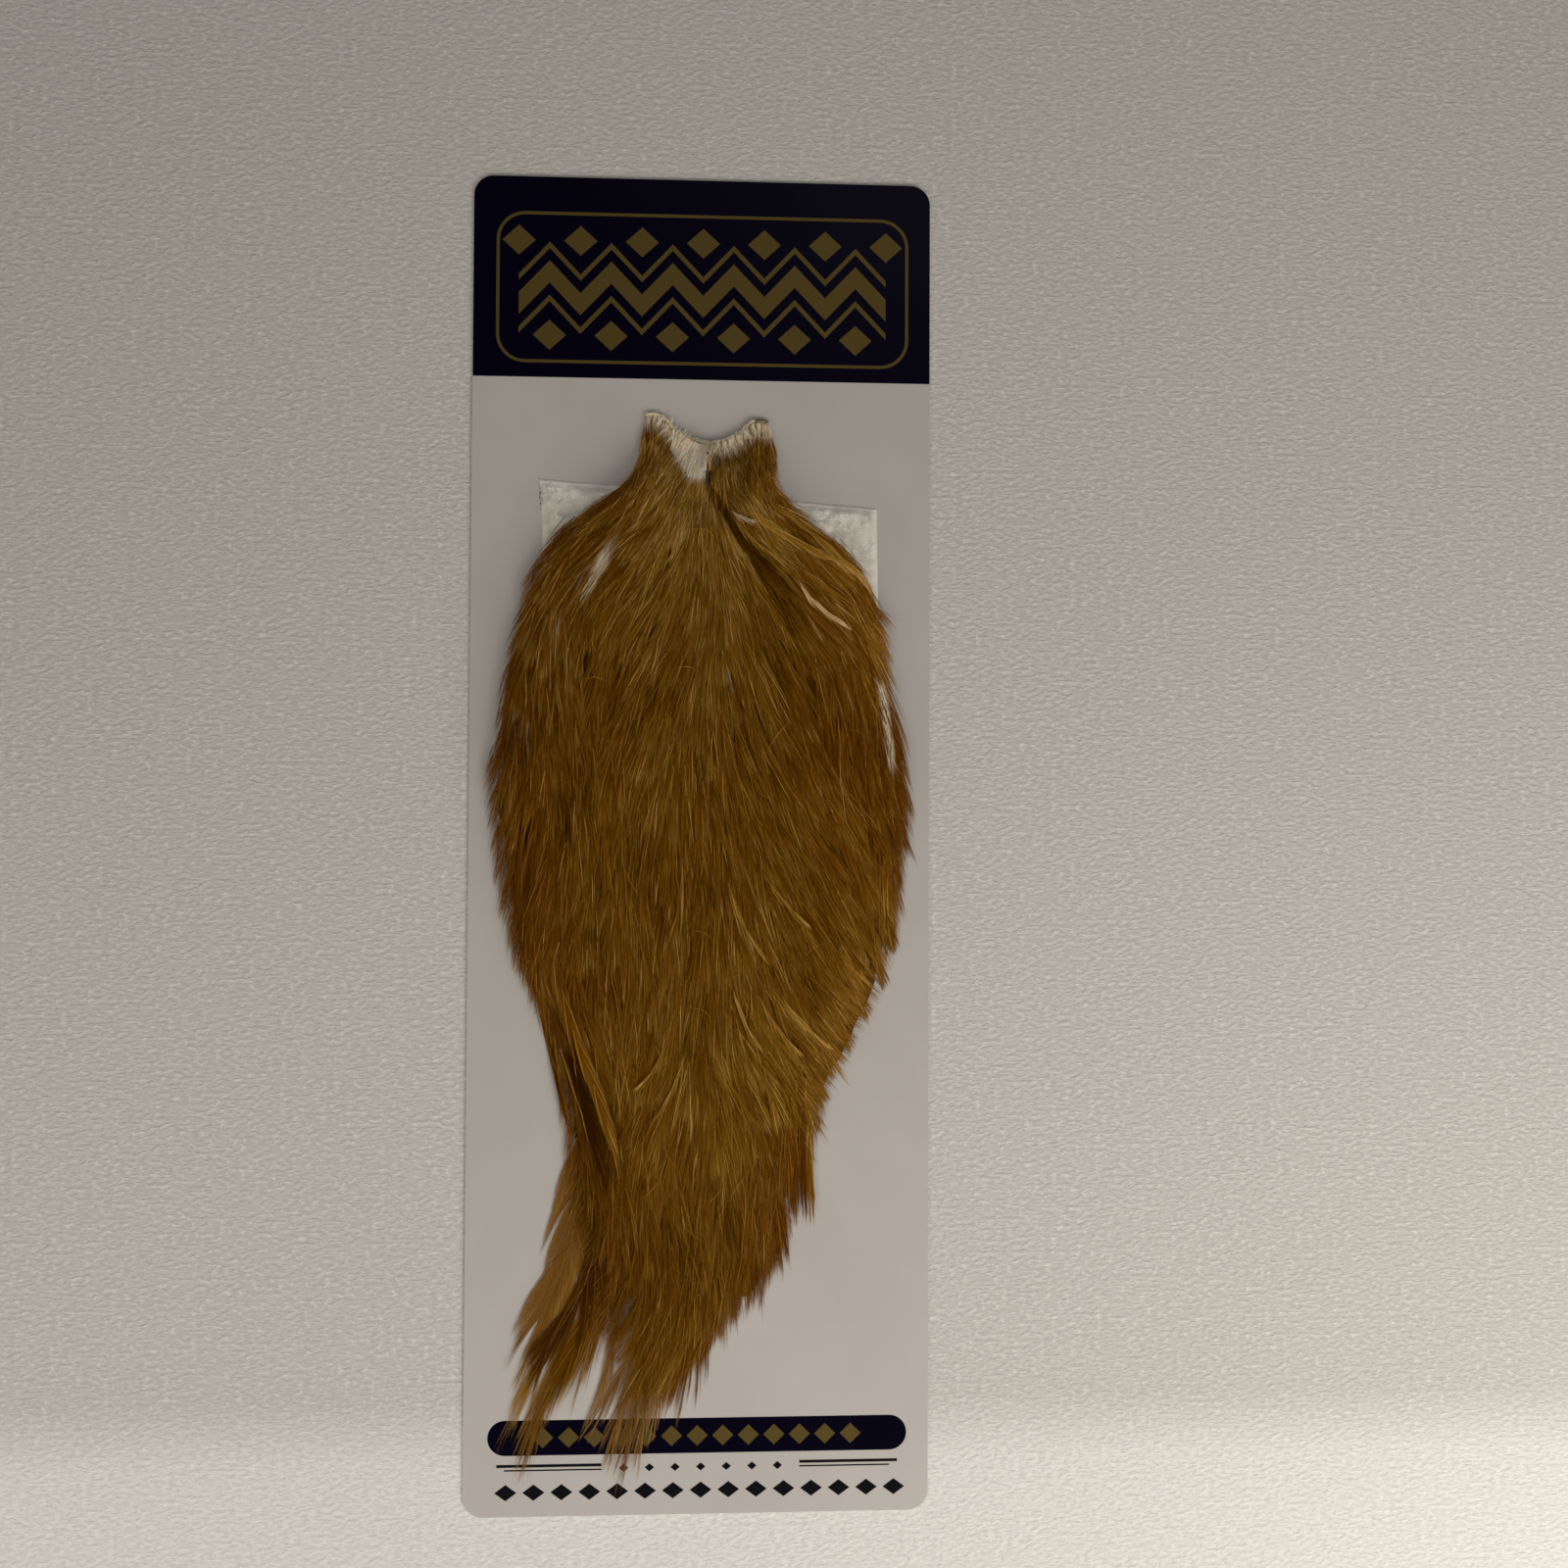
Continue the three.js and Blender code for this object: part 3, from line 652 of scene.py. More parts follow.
def furrow_painted_shade(x, y):
    """How much painted shade darkens the barbs in the furrow. On its lip a painted highlight makes them a
    little lighter.
    """
    off, (_, half_width, dark) = near_line(x, y, FURROW)
    return dark * in_furrow(off, half_width) - LIP_PAINTED_LIGHT * dark * on_lip(off)


heights = surface(np.zeros(3), np.array([100.0, 0.0, -130.0]))
print("surface at neck, back and tail:", np.round(heights, 1), "mm")

# %% [markdown]
# ## The lie of the feathers
# Feathers fall from the neck like combed hair: down the middle, out over both shoulders, and in again
# towards the tail, and they part and meet in locks on the way. A few places at each height, with the
# angle that the feathers have there, are enough to describe that. Between them the angle is a mean,
# weighted by how near the places are. Each row is a height and its places, as x and degrees.

# %% Lie of the feathers
LIE_ROWS = [
    (112, (-13.9, -3), (17.3, -4)),
    (105, (-16.7, -8), (-7, -26), (-0.2, -30), (7.5, 2), (17.2, -2)),
    (96, (-26.3, -54), (-15.5, -36), (-5.9, -28), (-1.1, -12), (2.6, 12),
     (7.4, 30), (14.2, 32), (22, 40)),
    (86, (-34.9, -50), (-25, -42), (-14.4, -38), (-5.9, -24), (-0.2, -2), (3.6, 14),
     (7.4, 34), (12.1, 46), (17.9, 52), (25.6, 53), (33.6, 56)),
    (74, (-44.2, -34), (-35.2, -34), (-24.6, -34), (-13.3, -30), (-3.9, -18), (3.7, 6),
     (9.4, 20), (15.1, 34), (24.5, 46), (35, 50), (44.2, 38)),
    (60, (-48.7, -20), (-37.7, -2), (-28, -14), (-18.6, -22), (-9.3, -28), (0.1, -14),
     (9.5, 15), (18.9, 25), (28.3, 36), (37, 42), (46.9, 26)),
    (46, (-52.2, -18), (-44, 0), (-35.3, 8), (-27.7, -12), (-16.5, -16), (-7.2, -21), (1.2, -4),
     (11.5, 20), (22.7, 22), (30.2, 8), (37.8, 8), (46.7, 14)),
    (31, (-52.9, -8), (-42.8, 3), (-35.2, 9), (-25.8, -8), (-14.7, -15), (-6.3, -11), (3.1, 4),
     (13.3, 22), (24.6, 26), (32.9, 16), (40.6, 4), (49.6, 12)),
    (14, (-54, -15), (-44.8, -12), (-36.3, 5), (-25.9, 1), (-13.7, -8), (-3.4, 4), (7.7, 15),
     (18.9, 24), (30.2, 30), (38.7, 31), (47.4, 16), (54.6, 12)),
    (-6, (-51.1, -3), (-43.2, -15), (-34.5, -7), (-24.2, -6), (-13.8, 4), (0.2, 1),
     (11.5, 15), (24.6, 25), (37, 30), (48.5, 10)),
    (-22, (-46.5, -8), (-35.7, -8), (-24.4, 0), (-14, 6), (-3.6, -5), (7.7, 6),
     (19, 20), (30.3, 29), (41, 28), (50, 10)),
    (-40, (-42.9, 14), (-32.1, 14), (-22.6, 2), (-11.3, -8), (0.1, -4),
     (11.4, 11), (22.8, 26), (32.3, 44), (41.1, 44)),
    (-56, (-37.3, 19), (-28.4, 18), (-20.8, 4), (-13.2, -18), (-4.7, -10),
     (5.7, 14), (15.2, 30), (24.7, 42), (34.4, 38)),
    (-70, (-35.5, 14), (-27.6, 16), (-19.8, -8), (-11.3, -24), (-1.8, -10),
     (7.7, 9), (17.2, 20), (27.8, 25)),
    (-86, (-36.6, -5), (-27.7, 8), (-19, 6), (-9.4, 0), (0.1, -8), (9.7, 3), (19.3, -2), (29.1, -2)),
    (-101, (-37.8, -10), (-28.8, -6), (-19.1, 4), (-7.5, 14), (4, 5), (13.7, 6), (23.5, 0)),
    (-114, (-38.9, -19), (-27, -16), (-15.3, -10), (-3.6, 0), (8, 2), (16.8, -8)),
    (-128, (-43, -25), (-31.2, -31), (-19.3, -29), (-7.6, -20), (2.3, -8), (11.1, -13)),
    (-144, (-45.2, -22), (-35.3, -27), (-23.4, -20), (-13.5, -18), (-2.6, -24)),
    (-160, (-45.5, -10), (-35.6, -20), (-21.6, -10), (-12.7, -14)),
]
LIE = np.array([(x, y, angle) for y, *places in LIE_ROWS for x, angle in places], dtype=float)
LIE_REACH = (4.0, 6.5)
LIE_FAR = 40.0
LIE_LEAST = 1e-6


def lie_at(x, y):
    """The way the feathers point at x, y: an angle from straight down towards +X, in radians."""
    away = ((x[..., None] - LIE[:, 0]) / LIE_REACH[0]) ** 2 + ((y[..., None] - LIE[:, 1]) / LIE_REACH[1]) ** 2
    weight = np.exp(-np.minimum(away, LIE_FAR) / 2) + LIE_LEAST / (1 + away)
    return np.radians((weight * LIE[:, 2]).sum(-1) / weight.sum(-1))


print(len(LIE), "places give the lie of the feathers")

# %% [markdown]
# ## Soft noise
# Nothing on a cape is quite even: tufts lean, patches are lighter, and edges waver. A soft noise does
# that: random values on a square net, eased from one to the next. Each use has a seed of its own, so
# that it comes out the same every time.

# %% Soft noise
NET_SIZE = 256
NET_MIDDLE = 64


def value_noise(x, y, cell, seed):
    """Soft noise between -1 and 1, with one random value every cell millimetres."""
    table = np.random.default_rng(seed).uniform(-1, 1, (NET_SIZE, NET_SIZE))
    u, v = x / cell + NET_MIDDLE, y / cell + NET_MIDDLE
    i, j = np.floor(u).astype(int) % (NET_SIZE - 1), np.floor(v).astype(int) % (NET_SIZE - 1)
    u, v = ease(u - np.floor(u)), ease(v - np.floor(v))
    near = table[j, i] * (1 - u) + table[j, i + 1] * u
    far = table[j + 1, i] * (1 - u) + table[j + 1, i + 1] * u
    return near * (1 - v) + far * v


def wavering(along, cell, seed, row=0):
    """The same noise along one line of values."""
    return value_noise(along, along * 0 + row, cell, seed)


print("a line of noise:", np.round(wavering(np.arange(0.0, 12.0, 3.0), 2.0, 31), 2))

# %% [markdown]
# ## Where the feathers end
# What you see of a feather in a cape is its tip, because the next feathers cover the rest. So we place
# the tips, in loose rows from the collar to the tail, and trace each feather back along the lie to
# where its root is hidden. Feathers are small and close at the neck, and long at the tail. The plan
# gives that for some heights: the spacing across and down, the barbed length and the barbs' length.

# %% Places of the tips
PLAN = [
    (118, 1.5, 2.2, 6.5, 4.5), (104, 1.8, 3.0, 9, 6.5), (92, 2.2, 4.8, 14, 9.5),
    (74, 2.5, 6.8, 18, 13.0), (34, 2.7, 8.0, 21, 15.5), (-34, 2.8, 8.4, 22, 17.0),
    (-100, 2.9, 8.4, 26, 18.0), (-174, 2.8, 7.5, 30, 19.0),
]
FIRST_ROW = 3.0
BARE_RIM = 1.5
NUDGE_ACROSS = 0.4
NUDGE_DOWN = 0.5
EDGE_DRAW_IN = 0.3
EDGE_SPREAD = (0.17, 0.06)
EDGE_RAGGED = (-0.4, 1.6)
COMBED_ABOVE = 62.0
COMBED_INSET = 1.4


def combed(x, y, room):
    """x kept inside the outline by so much room above the shoulders, where the edges are combed smooth."""
    kept = np.clip(x, in_table(OUTLINE, y, 1) + room, in_table(OUTLINE, y, 2) - room)
    return np.where(y > COMBED_ABOVE, kept, x)


def scatter_tips(rng):
    """Rows of places from collar to tail. Below the shoulders the ends of each row are ragged."""
    tips = []
    y = COLLAR_TOP - FIRST_ROW
    while y > TAIL_END:
        across, down = in_table(PLAN, y, 1), in_table(PLAN, y, 2)
        left_in, right_in = (EDGE_DRAW_IN + spread * in_table(PLAN, y, 4) for spread in EDGE_SPREAD)
        left, right = in_table(OUTLINE, y, 1) + left_in, in_table(OUTLINE, y, 2) - right_in
        count = max(1, int(round((right - left) / across))) + 1
        nudge = rng.uniform(-NUDGE_ACROSS, NUDGE_ACROSS, count) * across
        nudge[[0, -1]] = rng.uniform(*EDGE_RAGGED, 2) * (1, -1) * (y < COMBED_ABOVE)
        lower = rng.uniform(-NUDGE_DOWN, NUDGE_DOWN, count) * down
        tips.append(np.column_stack([np.linspace(left, right, count) + nudge, y + lower]))
        y -= down
    tips = np.concatenate(tips)
    return tips[tips[:, 1] < rim_at(tips[:, 0]) - BARE_RIM]


rng = np.random.default_rng(7)
tips = scatter_tips(rng)
print(len(tips), "tips")

# %% Tones of the plumage
# Most spots are the plumage's own tone; the lighter ones on the neck and upper middle are painted light from
# above.
TONE_AND_LIGHT_SPOTS = [
    (0, 84, 0.2, 22), (0, 106, 0.16, 15), (2.5, 84, 0.12, 4), (34, 80, 0.12, 14), (-2, 107, 0.12, 4),
    (-14, 103, 0.16, 6), (48.6, 46, 0.28, 4), (-50, 0, -0.06, 22), (0, 8, -0.06, 26),
    (10, -62, 0.04, 24), (-10, -140, -0.10, 34), (-30, -110, -0.08, 12), (14, -120, -0.06, 16),
    (52, 0, -0.04, 20),
]
MIDDLE_TONE = 0.5
PATCH_TONE = 0.08
PATCH_CELL = 9.0
PATCH_STRETCH = 2.2


def tone_and_light_at(x, y):
    """How light the plumage is around x, y: its own tone, with painted light on the neck and upper middle.
    Each spot has its place, its change and its reach.
    """
    tone = np.full(np.shape(x), MIDDLE_TONE)
    for spot_x, spot_y, change, reach in TONE_AND_LIGHT_SPOTS:
        tone = tone + change * np.exp(-((x - spot_x) ** 2 + (y - spot_y) ** 2) / (2 * reach ** 2))
    return tone + PATCH_TONE * value_noise(x, y / PATCH_STRETCH, PATCH_CELL, 17)


print("tones from", *np.round(np.quantile(tone_and_light_at(*tips.T), (0, 1)), 2))

# %% Feathers from tips
PATH_STEPS = 16
LEAN_REACH = 16.0
GROUP_CELL = 9.0
GROUP_LEAN = 4.0
OWN_LEAN = 3.5
OWN_SIZE = (0.85, 1.15)
OPENING = (8, 15)
LOOSE_SINK = 0.25
# painted highlight on one edge of some feathers, towards the barbs' ends
PAINTED_EDGE_LIGHT = 0.2
PAINTED_EDGE_SHARE = 0.2
GROUP_TONE = 0.05
OWN_TONE = 0.05
BLUNT_TIP = 0.4
TIP_SHARE = 0.34
RIM_ROOM = 0.3
SHORTEST = 1.5
HIDDEN_SHARE = 0.35
LONGEST_BARB = 0.8


def trace_back(tips, lengths, lean):
    """Paths from root to tip: each starts at its tip and walks back against the lie."""
    path = np.empty((len(tips), PATH_STEPS + 1, 2))
    path[:, -1] = tips
    stride = lengths / PATH_STEPS
    for step in range(PATH_STEPS):
        x, y = path[:, PATH_STEPS - step].T
        angle = lie_at(x, y) + lean * np.exp(-stride * (step + 0.5) / LEAN_REACH)
        y = y + stride * np.cos(angle)
        x = combed(x - stride * np.sin(angle), y, COMBED_INSET)
        path[:, PATH_STEPS - step - 1] = np.column_stack([x, y])
    return path


def feathers_at(tips, rng):
    """Feathers with their tips at these places, sized by how far down the cape they are."""
    x, y = tips.T
    barbed = in_table(PLAN, y, 3) * rng.uniform(*OWN_SIZE, len(tips))
    room = np.maximum(rim_at(x) - y - RIM_ROOM, SHORTEST)
    length = np.minimum(barbed * (1 + HIDDEN_SHARE), room)
    barb = np.minimum(in_table(PLAN, y, 4) * rng.uniform(*OWN_SIZE, len(tips)), LONGEST_BARB * length)
    group = value_noise(x, y, GROUP_CELL, 11)
    lean = np.radians(GROUP_LEAN * group + OWN_LEAN * rng.normal(size=len(tips)))
    return SimpleNamespace(
        path=trace_back(tips, length, lean),
        length=length,
        barbed=np.minimum(barbed, length - TIP_SHARE * barb),
        barb=barb,
        opening=np.radians(rng.uniform(*OPENING, len(tips))),
        sink=rng.uniform(0.0, LOOSE_SINK, len(tips)),
        tone=tone_and_light_at(x, y) + GROUP_TONE * group + OWN_TONE * rng.normal(size=len(tips)),
        ruffle=np.ones(len(tips)),
        white=np.zeros(len(tips)),
        blunt=np.full(len(tips), BLUNT_TIP),
        painted_light=PAINTED_EDGE_LIGHT * (rng.random((len(tips), 2)) < PAINTED_EDGE_SHARE),
    )


plumage = feathers_at(tips, rng)
print(len(plumage.length), "feathers, up to", round(float(plumage.length.max())), "mm long")

# %% [markdown]
# ## What colours a barb
# The feathers are olive gold down the middle and rust towards the sides, and white only where the down
# shows: along the collar's cut and in a few small places. Each point of each barb carries three values
# for that, warm, pale and tone, and the material turns them into colour.

# %% Warm and pale places
PALE_SPOTS = [
    ([(-3.0, 109.8), (-2.8, 106.6)], 6.2, 2.4), ([(-2.8, 106.6), (-2.0, 102.6)], 5.2, 1.4),
    ([(-26.3, 77.0), (-27.8, 73.2)], 2.6, 1.15),
    ([(-23.2, 82.6), (-26.2, 77.0)], 0.9, 0.4), ([(-27.8, 73.2), (-31.6, 65.4)], 1.7, 0.7),
    ([(-33.0, 73.0), (-33.2, 65.4)], 0.9, 0.5), ([(-39.4, 60.2), (-38.6, 55.4)], 1.2, 0.5),
    ([(49.9, 42), (51.4, 31.8), (52.4, 21.6)], 1.9, 0.85), ([(-50.1, 34.6), (-49.6, 27.6)], 1.4, 0.4),
    ([(-47.2, 32.6), (-46.4, 23.8)], 1.1, 0.35), ([(7.1, 45.5), (8.1, 41.5)], 0.6, 0.6),
    ([(-10.5, 26.8), (-10.1, 22.8)], 0.6, 0.4),
]
PALE_STEP = (0.25, 0.7)
COLLAR_WHITE = 6.6
COLLAR_FADE = 0.5
BEIGE_EAR = -12.5
PATCH_CORE = 0.6
NARROWEST_HALF = 6.0
WARM_START = 0.35
WARM_FADE = 0.6
WARM_PATCHES = 0.4
TAN_TAIL = 0.8
TAN_BELOW = (86, 12)
TAN_LEFT = (26, 5)
OLIVE_HIP = 0.6
HIP_RIGHT = (22, 10)
HIP_BELOW = (8, 18)
HIP_ABOVE = (-84, 12)
WHITEST = 1.25
EAR_WHITE = 0.7
EAR_FADE = 2.5
LEAST_LUCK = 0.12


def past(value, limit):
    """0 up to the limit's first number, and 1 where it is passed by the second one."""
    start, over = limit
    return ease((value - start) / over)


def warm_at(x, y):
    """0 in the olive middle, 1 at the rusty sides. The tail's left is tan and the right hip olive again."""
    left, right = in_table(OUTLINE, y, 1), in_table(OUTLINE, y, 2)
    off = np.abs(x - (right + left) / 2) / np.maximum((right - left) / 2, NARROWEST_HALF)
    warm = ease((off - WARM_START) / WARM_FADE) + WARM_PATCHES * value_noise(x, y / 2, 10.0, 3)
    warm = warm * (1 - TAN_TAIL * past(-y, TAN_BELOW) * past(-x, TAN_LEFT))
    hip = past(x, HIP_RIGHT) * past(-y, HIP_BELOW) * past(y, HIP_ABOVE)
    return np.clip(warm * (1 - OLIVE_HIP * hip), 0, 1)


def pale_at(x, y, luck):
    """How white a point is. Where the white fades out, luck from 0 to 1 picks the barbs that keep it."""
    below = rim_at(x) - y
    pale = WHITEST - below / COLLAR_WHITE * (1 - COLLAR_FADE / 2 + COLLAR_FADE * luck)
    pale = pale * (EAR_WHITE + (1 - EAR_WHITE) * ease((x - BEIGE_EAR) / EAR_FADE + 0.5))
    for line, reach, strength in PALE_SPOTS:
        away = np.abs(near_line(x, y, line)[0])
        spot = strength * ease((reach - away) / reach / PATCH_CORE) * (LEAST_LUCK + luck)
        pale = np.maximum(pale, spot)
    return np.clip((pale - PALE_STEP[0]) / (PALE_STEP[1] - PALE_STEP[0]), 0.0, 1.0)


print(len(PALE_SPOTS), "small pale places")

# %% [markdown]
# ## Ribbons for barbs
# A barb is one thin flat strand of the vane. It leaves the shaft at an angle, bends towards the tip,
# and clings to its neighbours in little bundles. Hair curves would be one way to make them, but a mesh
# of narrow ribbons keeps its shape everywhere, so each barb is a ribbon of two quads and a pointed end,
# rolled a little about its own length so that neighbours catch the light differently.

# %% Ribbons
ALONG_BARB = np.array([0.0, 0.4, 0.75, 1.0])
BARB_SHAPE = np.array([0.85, 0.95, 0.6])
BARB_POINTS = 7
ALONG_POINTS = ALONG_BARB[[0, 0, 1, 1, 2, 2, 3]]
LOWEST = 0.1


def turned(direction, side, angle):
    """The direction turned by angle towards one side of it."""
    aside = np.column_stack([direction[:, 1], -direction[:, 0]]) * side[:, None]
    return direction * np.cos(angle)[:, None] + aside * np.sin(angle)[:, None]


def lay(points, sink):
    """Heights of points that lie sink millimetres below the plumage's surface."""
    x, y = points[..., 0], points[..., 1]
    return np.maximum(surface(x, y) - sink, ground(y) + LOWEST)


def ribbons(base, leaving, ending, length, sink, width, roll, shift=None, room=None):
    """Points and faces of narrow ribbons. Each leaves its base one way and bends until it ends another."""
    t = ALONG_BARB[None, :, None]
    bend = t * leaving[:, None] + t * t / 2 * (ending - leaving)[:, None]
    centre = base[:, None] + length[:, None, None] * bend
    if shift is not None:
        centre += t * shift[:, None]
    if room is not None:
        centre[..., 0] = combed(centre[..., 0], centre[..., 1], room[:, None])
    heading = leaving[:, None] + t * (ending - leaving)[:, None]
    heading /= np.linalg.norm(heading, axis=2)[:, :, None]
    height = lay(centre, sink)
    aside = np.stack([heading[..., 1], -heading[..., 0]], axis=2)[:, :3] * BARB_SHAPE[None, :, None]
    aside = aside * (width / 2 * np.cos(roll))[:, None, None]
    tilt = BARB_SHAPE[None, :] * (width / 2 * np.sin(roll))[:, None]
    points = np.empty((len(base), BARB_POINTS, 3))
    points[:, 0:6:2, :2] = centre[:, :3] - aside
    points[:, 1:6:2, :2] = centre[:, :3] + aside
    points[:, 0:6:2, 2] = height[:, :3] - tilt
    points[:, 1:6:2, 2] = height[:, :3] + tilt
    points[:, 6, :2] = centre[:, 3]
    points[:, 6, 2] = height[:, 3]
    first = (np.arange(len(base)) * BARB_POINTS)[:, None]
    quads = np.concatenate([first + np.array([0, 1, 3, 2]), first + np.array([2, 3, 5, 4])])
    return points.reshape(-1, 3), quads, first + np.array([4, 5, 6])


print("a barb has", BARB_POINTS, "points")

# %% [markdown]
# ## Barbs of a feather
# Barbs open less near the tip, and are shorter there. They cling together in bundles three millimetres
# wide, most of all near the tip, with a painted shade in the seams between them. Some single barbs stand
# up: a few darker than the rest, and more that are lighter, with a painted highlight. All barbs of all
# feathers in a piece are made at once, as arrays: owner is the feather of each barb, and back is its
# distance from that one's tip.

# %% Bundles of barbs
FEWEST_BARBS = 3
CLUMP = 3.0
CLUMP_OFFSET = 0.37
CLUMP_KINDS = 4096
CLUMP_STEPS = (7, 131, 977)


def along_path(feathers, owner, back):
    """The place and direction on each owner's path, back millimetres from its tip."""
    u = np.clip(PATH_STEPS * (1 - back / feathers.length[owner]), 0, PATH_STEPS - 0.001)
    i = u.astype(int)
    start, stop = feathers.path[owner, i], feathers.path[owner, i + 1]
    place = start + (stop - start) * (u - i)[:, None]
    direction = (stop - start) / np.linalg.norm(stop - start, axis=1)[:, None]
    return place, direction


def barb_owners(feathers, step):
    """For the barbs of both sides: the feather that each grows on, its order from the tip, and its side."""
    count = np.maximum(FEWEST_BARBS, (feathers.barbed / step).astype(int))
    owner = np.repeat(np.arange(len(count)), count)
    order = np.arange(len(owner)) - np.repeat(np.cumsum(count) - count, count)
    return np.tile(owner, 2), np.tile(order, 2), np.repeat([1.0, -1.0], len(owner))


def barb_clumps(owner, side, back):
    """The bundle of each barb: three random values of its own, and how far back its middle is."""
    clump = np.floor(back / CLUMP + CLUMP_OFFSET * owner).astype(int)
    kinds = np.random.default_rng(23).normal(size=(CLUMP_KINDS, 3))
    by_clump, by_owner, by_side = CLUMP_STEPS
    kind = (clump * by_clump + owner * by_owner + (side > 0) * by_side) % CLUMP_KINDS
    return kinds[kind], (clump + 0.5 - CLUMP_OFFSET * owner) * CLUMP


print("bundles of", round(CLUMP, 1), "mm, up to", CLUMP_KINDS, "kinds")

# %% Barbs of a feather
SLOPE_INTO_PLUMAGE = 0.04
BARB_SLOPE = 0.8 * SLOPE_INTO_PLUMAGE
END_LIFT = 0.4
CLUMP_PULL = 0.4
CLUMP_LENGTH = 0.12
CLUMP_LEAN = 2.0
CLUMP_SINK = 0.10
CLUMP_TONE = 0.07
BARB_LEAN = 0.9
BARB_ROLL = 13.0
BARB_TONE = 0.07
# painted shade in the seams between bundles
SHADED_SEAM_SHARE = 0.17
SEAM_PAINTED_SHADE = 0.22
# the lighter hairs that stand up carry a painted highlight
HIGHLIT_HAIRS = 0.022
HAIR_HIGHLIGHT_TONE = 0.34
DARK_HAIRS = 0.003
DARK_TONE = 0.3
HAIR_LIFT = 0.35
HAIR_WIDTH = 0.85
LOOSE_TIP = 0.7
TIP_ZONE = 0.3
TIP_OPENING = 0.4
END_OPENING = 0.3
SHORT_ZONE = 0.4
BARB_SIZE = (0.86, 1.08)
BARB_WIDTHS = (0.75, 1.25)
COMBED_ROOM = (0.4, 1.5)
WHITE_ALONG = (0.5, 0.8)


def barb_ribbons(feathers, step, width, rng):
    """Points, faces and marks of all the barbs on both sides of the feathers."""
    owner, order, side = barb_owners(feathers, step)
    total = len(owner)
    back = (order + rng.random(total)) * step
    share = back / feathers.barbed[owner]
    back = back + TIP_SHARE * feathers.barb[owner]

    own_clump, clump_back = barb_clumps(owner, side, back)
    shaded_seam = np.abs(back - clump_back) / CLUMP > (1 - SHADED_SEAM_SHARE) / 2
    ruffle = feathers.ruffle[owner]
    loose = ruffle * (1 + LOOSE_TIP * (1 - ease(share / TIP_ZONE)))
    luck = rng.random(total)
    light, dark = luck > 1 - HIGHLIT_HAIRS, luck < DARK_HAIRS

    blunt = feathers.blunt[owner]
    length = feathers.barb[owner] * (blunt + (1 - blunt) * ease(share / SHORT_ZONE))
    length = length * rng.uniform(*BARB_SIZE, total) * (1 + CLUMP_LENGTH * own_clump[:, 0] * ruffle)
    angle = feathers.opening[owner] * (TIP_OPENING + (1 - TIP_OPENING) * ease(share / TIP_ZONE))
    angle += np.radians(CLUMP_LEAN * own_clump[:, 1] + BARB_LEAN * rng.normal(size=total)) * loose
    base, direction = along_path(feathers, owner, back)
    leaving, ending = turned(direction, side, angle), turned(direction, side, angle * END_OPENING)
    shift = (CLUMP_PULL * loose * (back - clump_back))[:, None] * direction

    sink = feathers.sink[owner] + SLOPE_INTO_PLUMAGE * back + CLUMP_SINK * own_clump[:, 2] * ruffle
    sink = (sink - HAIR_LIFT * (light | dark))[:, None] - BARB_SLOPE * length[:, None] * ALONG_BARB
    sink = sink - END_LIFT * (rng.random(total) ** 4)[:, None] * ALONG_BARB ** 2
    roll = np.radians(BARB_ROLL * rng.normal(size=total) * ruffle)
    widths = width * rng.uniform(*BARB_WIDTHS, total) * np.where(light | dark, HAIR_WIDTH, 1.0)
    room = COMBED_ROOM[0] - COMBED_ROOM[1] * rng.random(total) ** 2
    points, quads, ends = ribbons(base, leaving, ending, length, sink, widths, roll, shift, room)

    own_tone = CLUMP_TONE * own_clump[:, 2] + BARB_TONE * rng.normal(size=total)
    tone = feathers.tone[owner] + own_tone * ruffle
    # painted shade in the seams between bundles, and a painted highlight on the lighter hairs
    tone = tone - SEAM_PAINTED_SHADE * shaded_seam * np.clip(0.6 + 0.5 * own_clump[:, 1], 0, 1) * ruffle
    tone = tone + HAIR_HIGHLIGHT_TONE * light - DARK_TONE * dark
    out = np.tile(ALONG_POINTS, total)
    # painted highlight along a feather's edge; below zero it is painted shade
    painted_light = feathers.painted_light[owner, (side > 0).astype(int)] * (1 - ease(share - 0.2))
    tone, painted_light, white = (np.repeat(values, BARB_POINTS) for values in (tone, painted_light, feathers.white[owner]))
    marks = {
        "tone": np.clip(tone + painted_light * out ** 2, 0, 1),
        "out": out,
        "luck": np.repeat(rng.random(total), BARB_POINTS),
        "white": white * (WHITE_ALONG[0] + WHITE_ALONG[1] * out),
    }
    return points, quads, ends, marks


print("a barb rises", BARB_SLOPE, "mm on each mm of its way")

# %% [markdown]
# ## Shafts
# The shaft is the stiff rod down a feather's middle. At this size a low ridge of three points across is
# enough: its two sides catch the light differently. Bare quills are paler than the barbs beside them.

# %% Shafts
SHAFT_STEPS = 8
SHAFT_RISE = 0.12
SHAFT_TIP = 0.25
SHAFT_TONE = 0.15
SHAFT_LUCK = 0.9


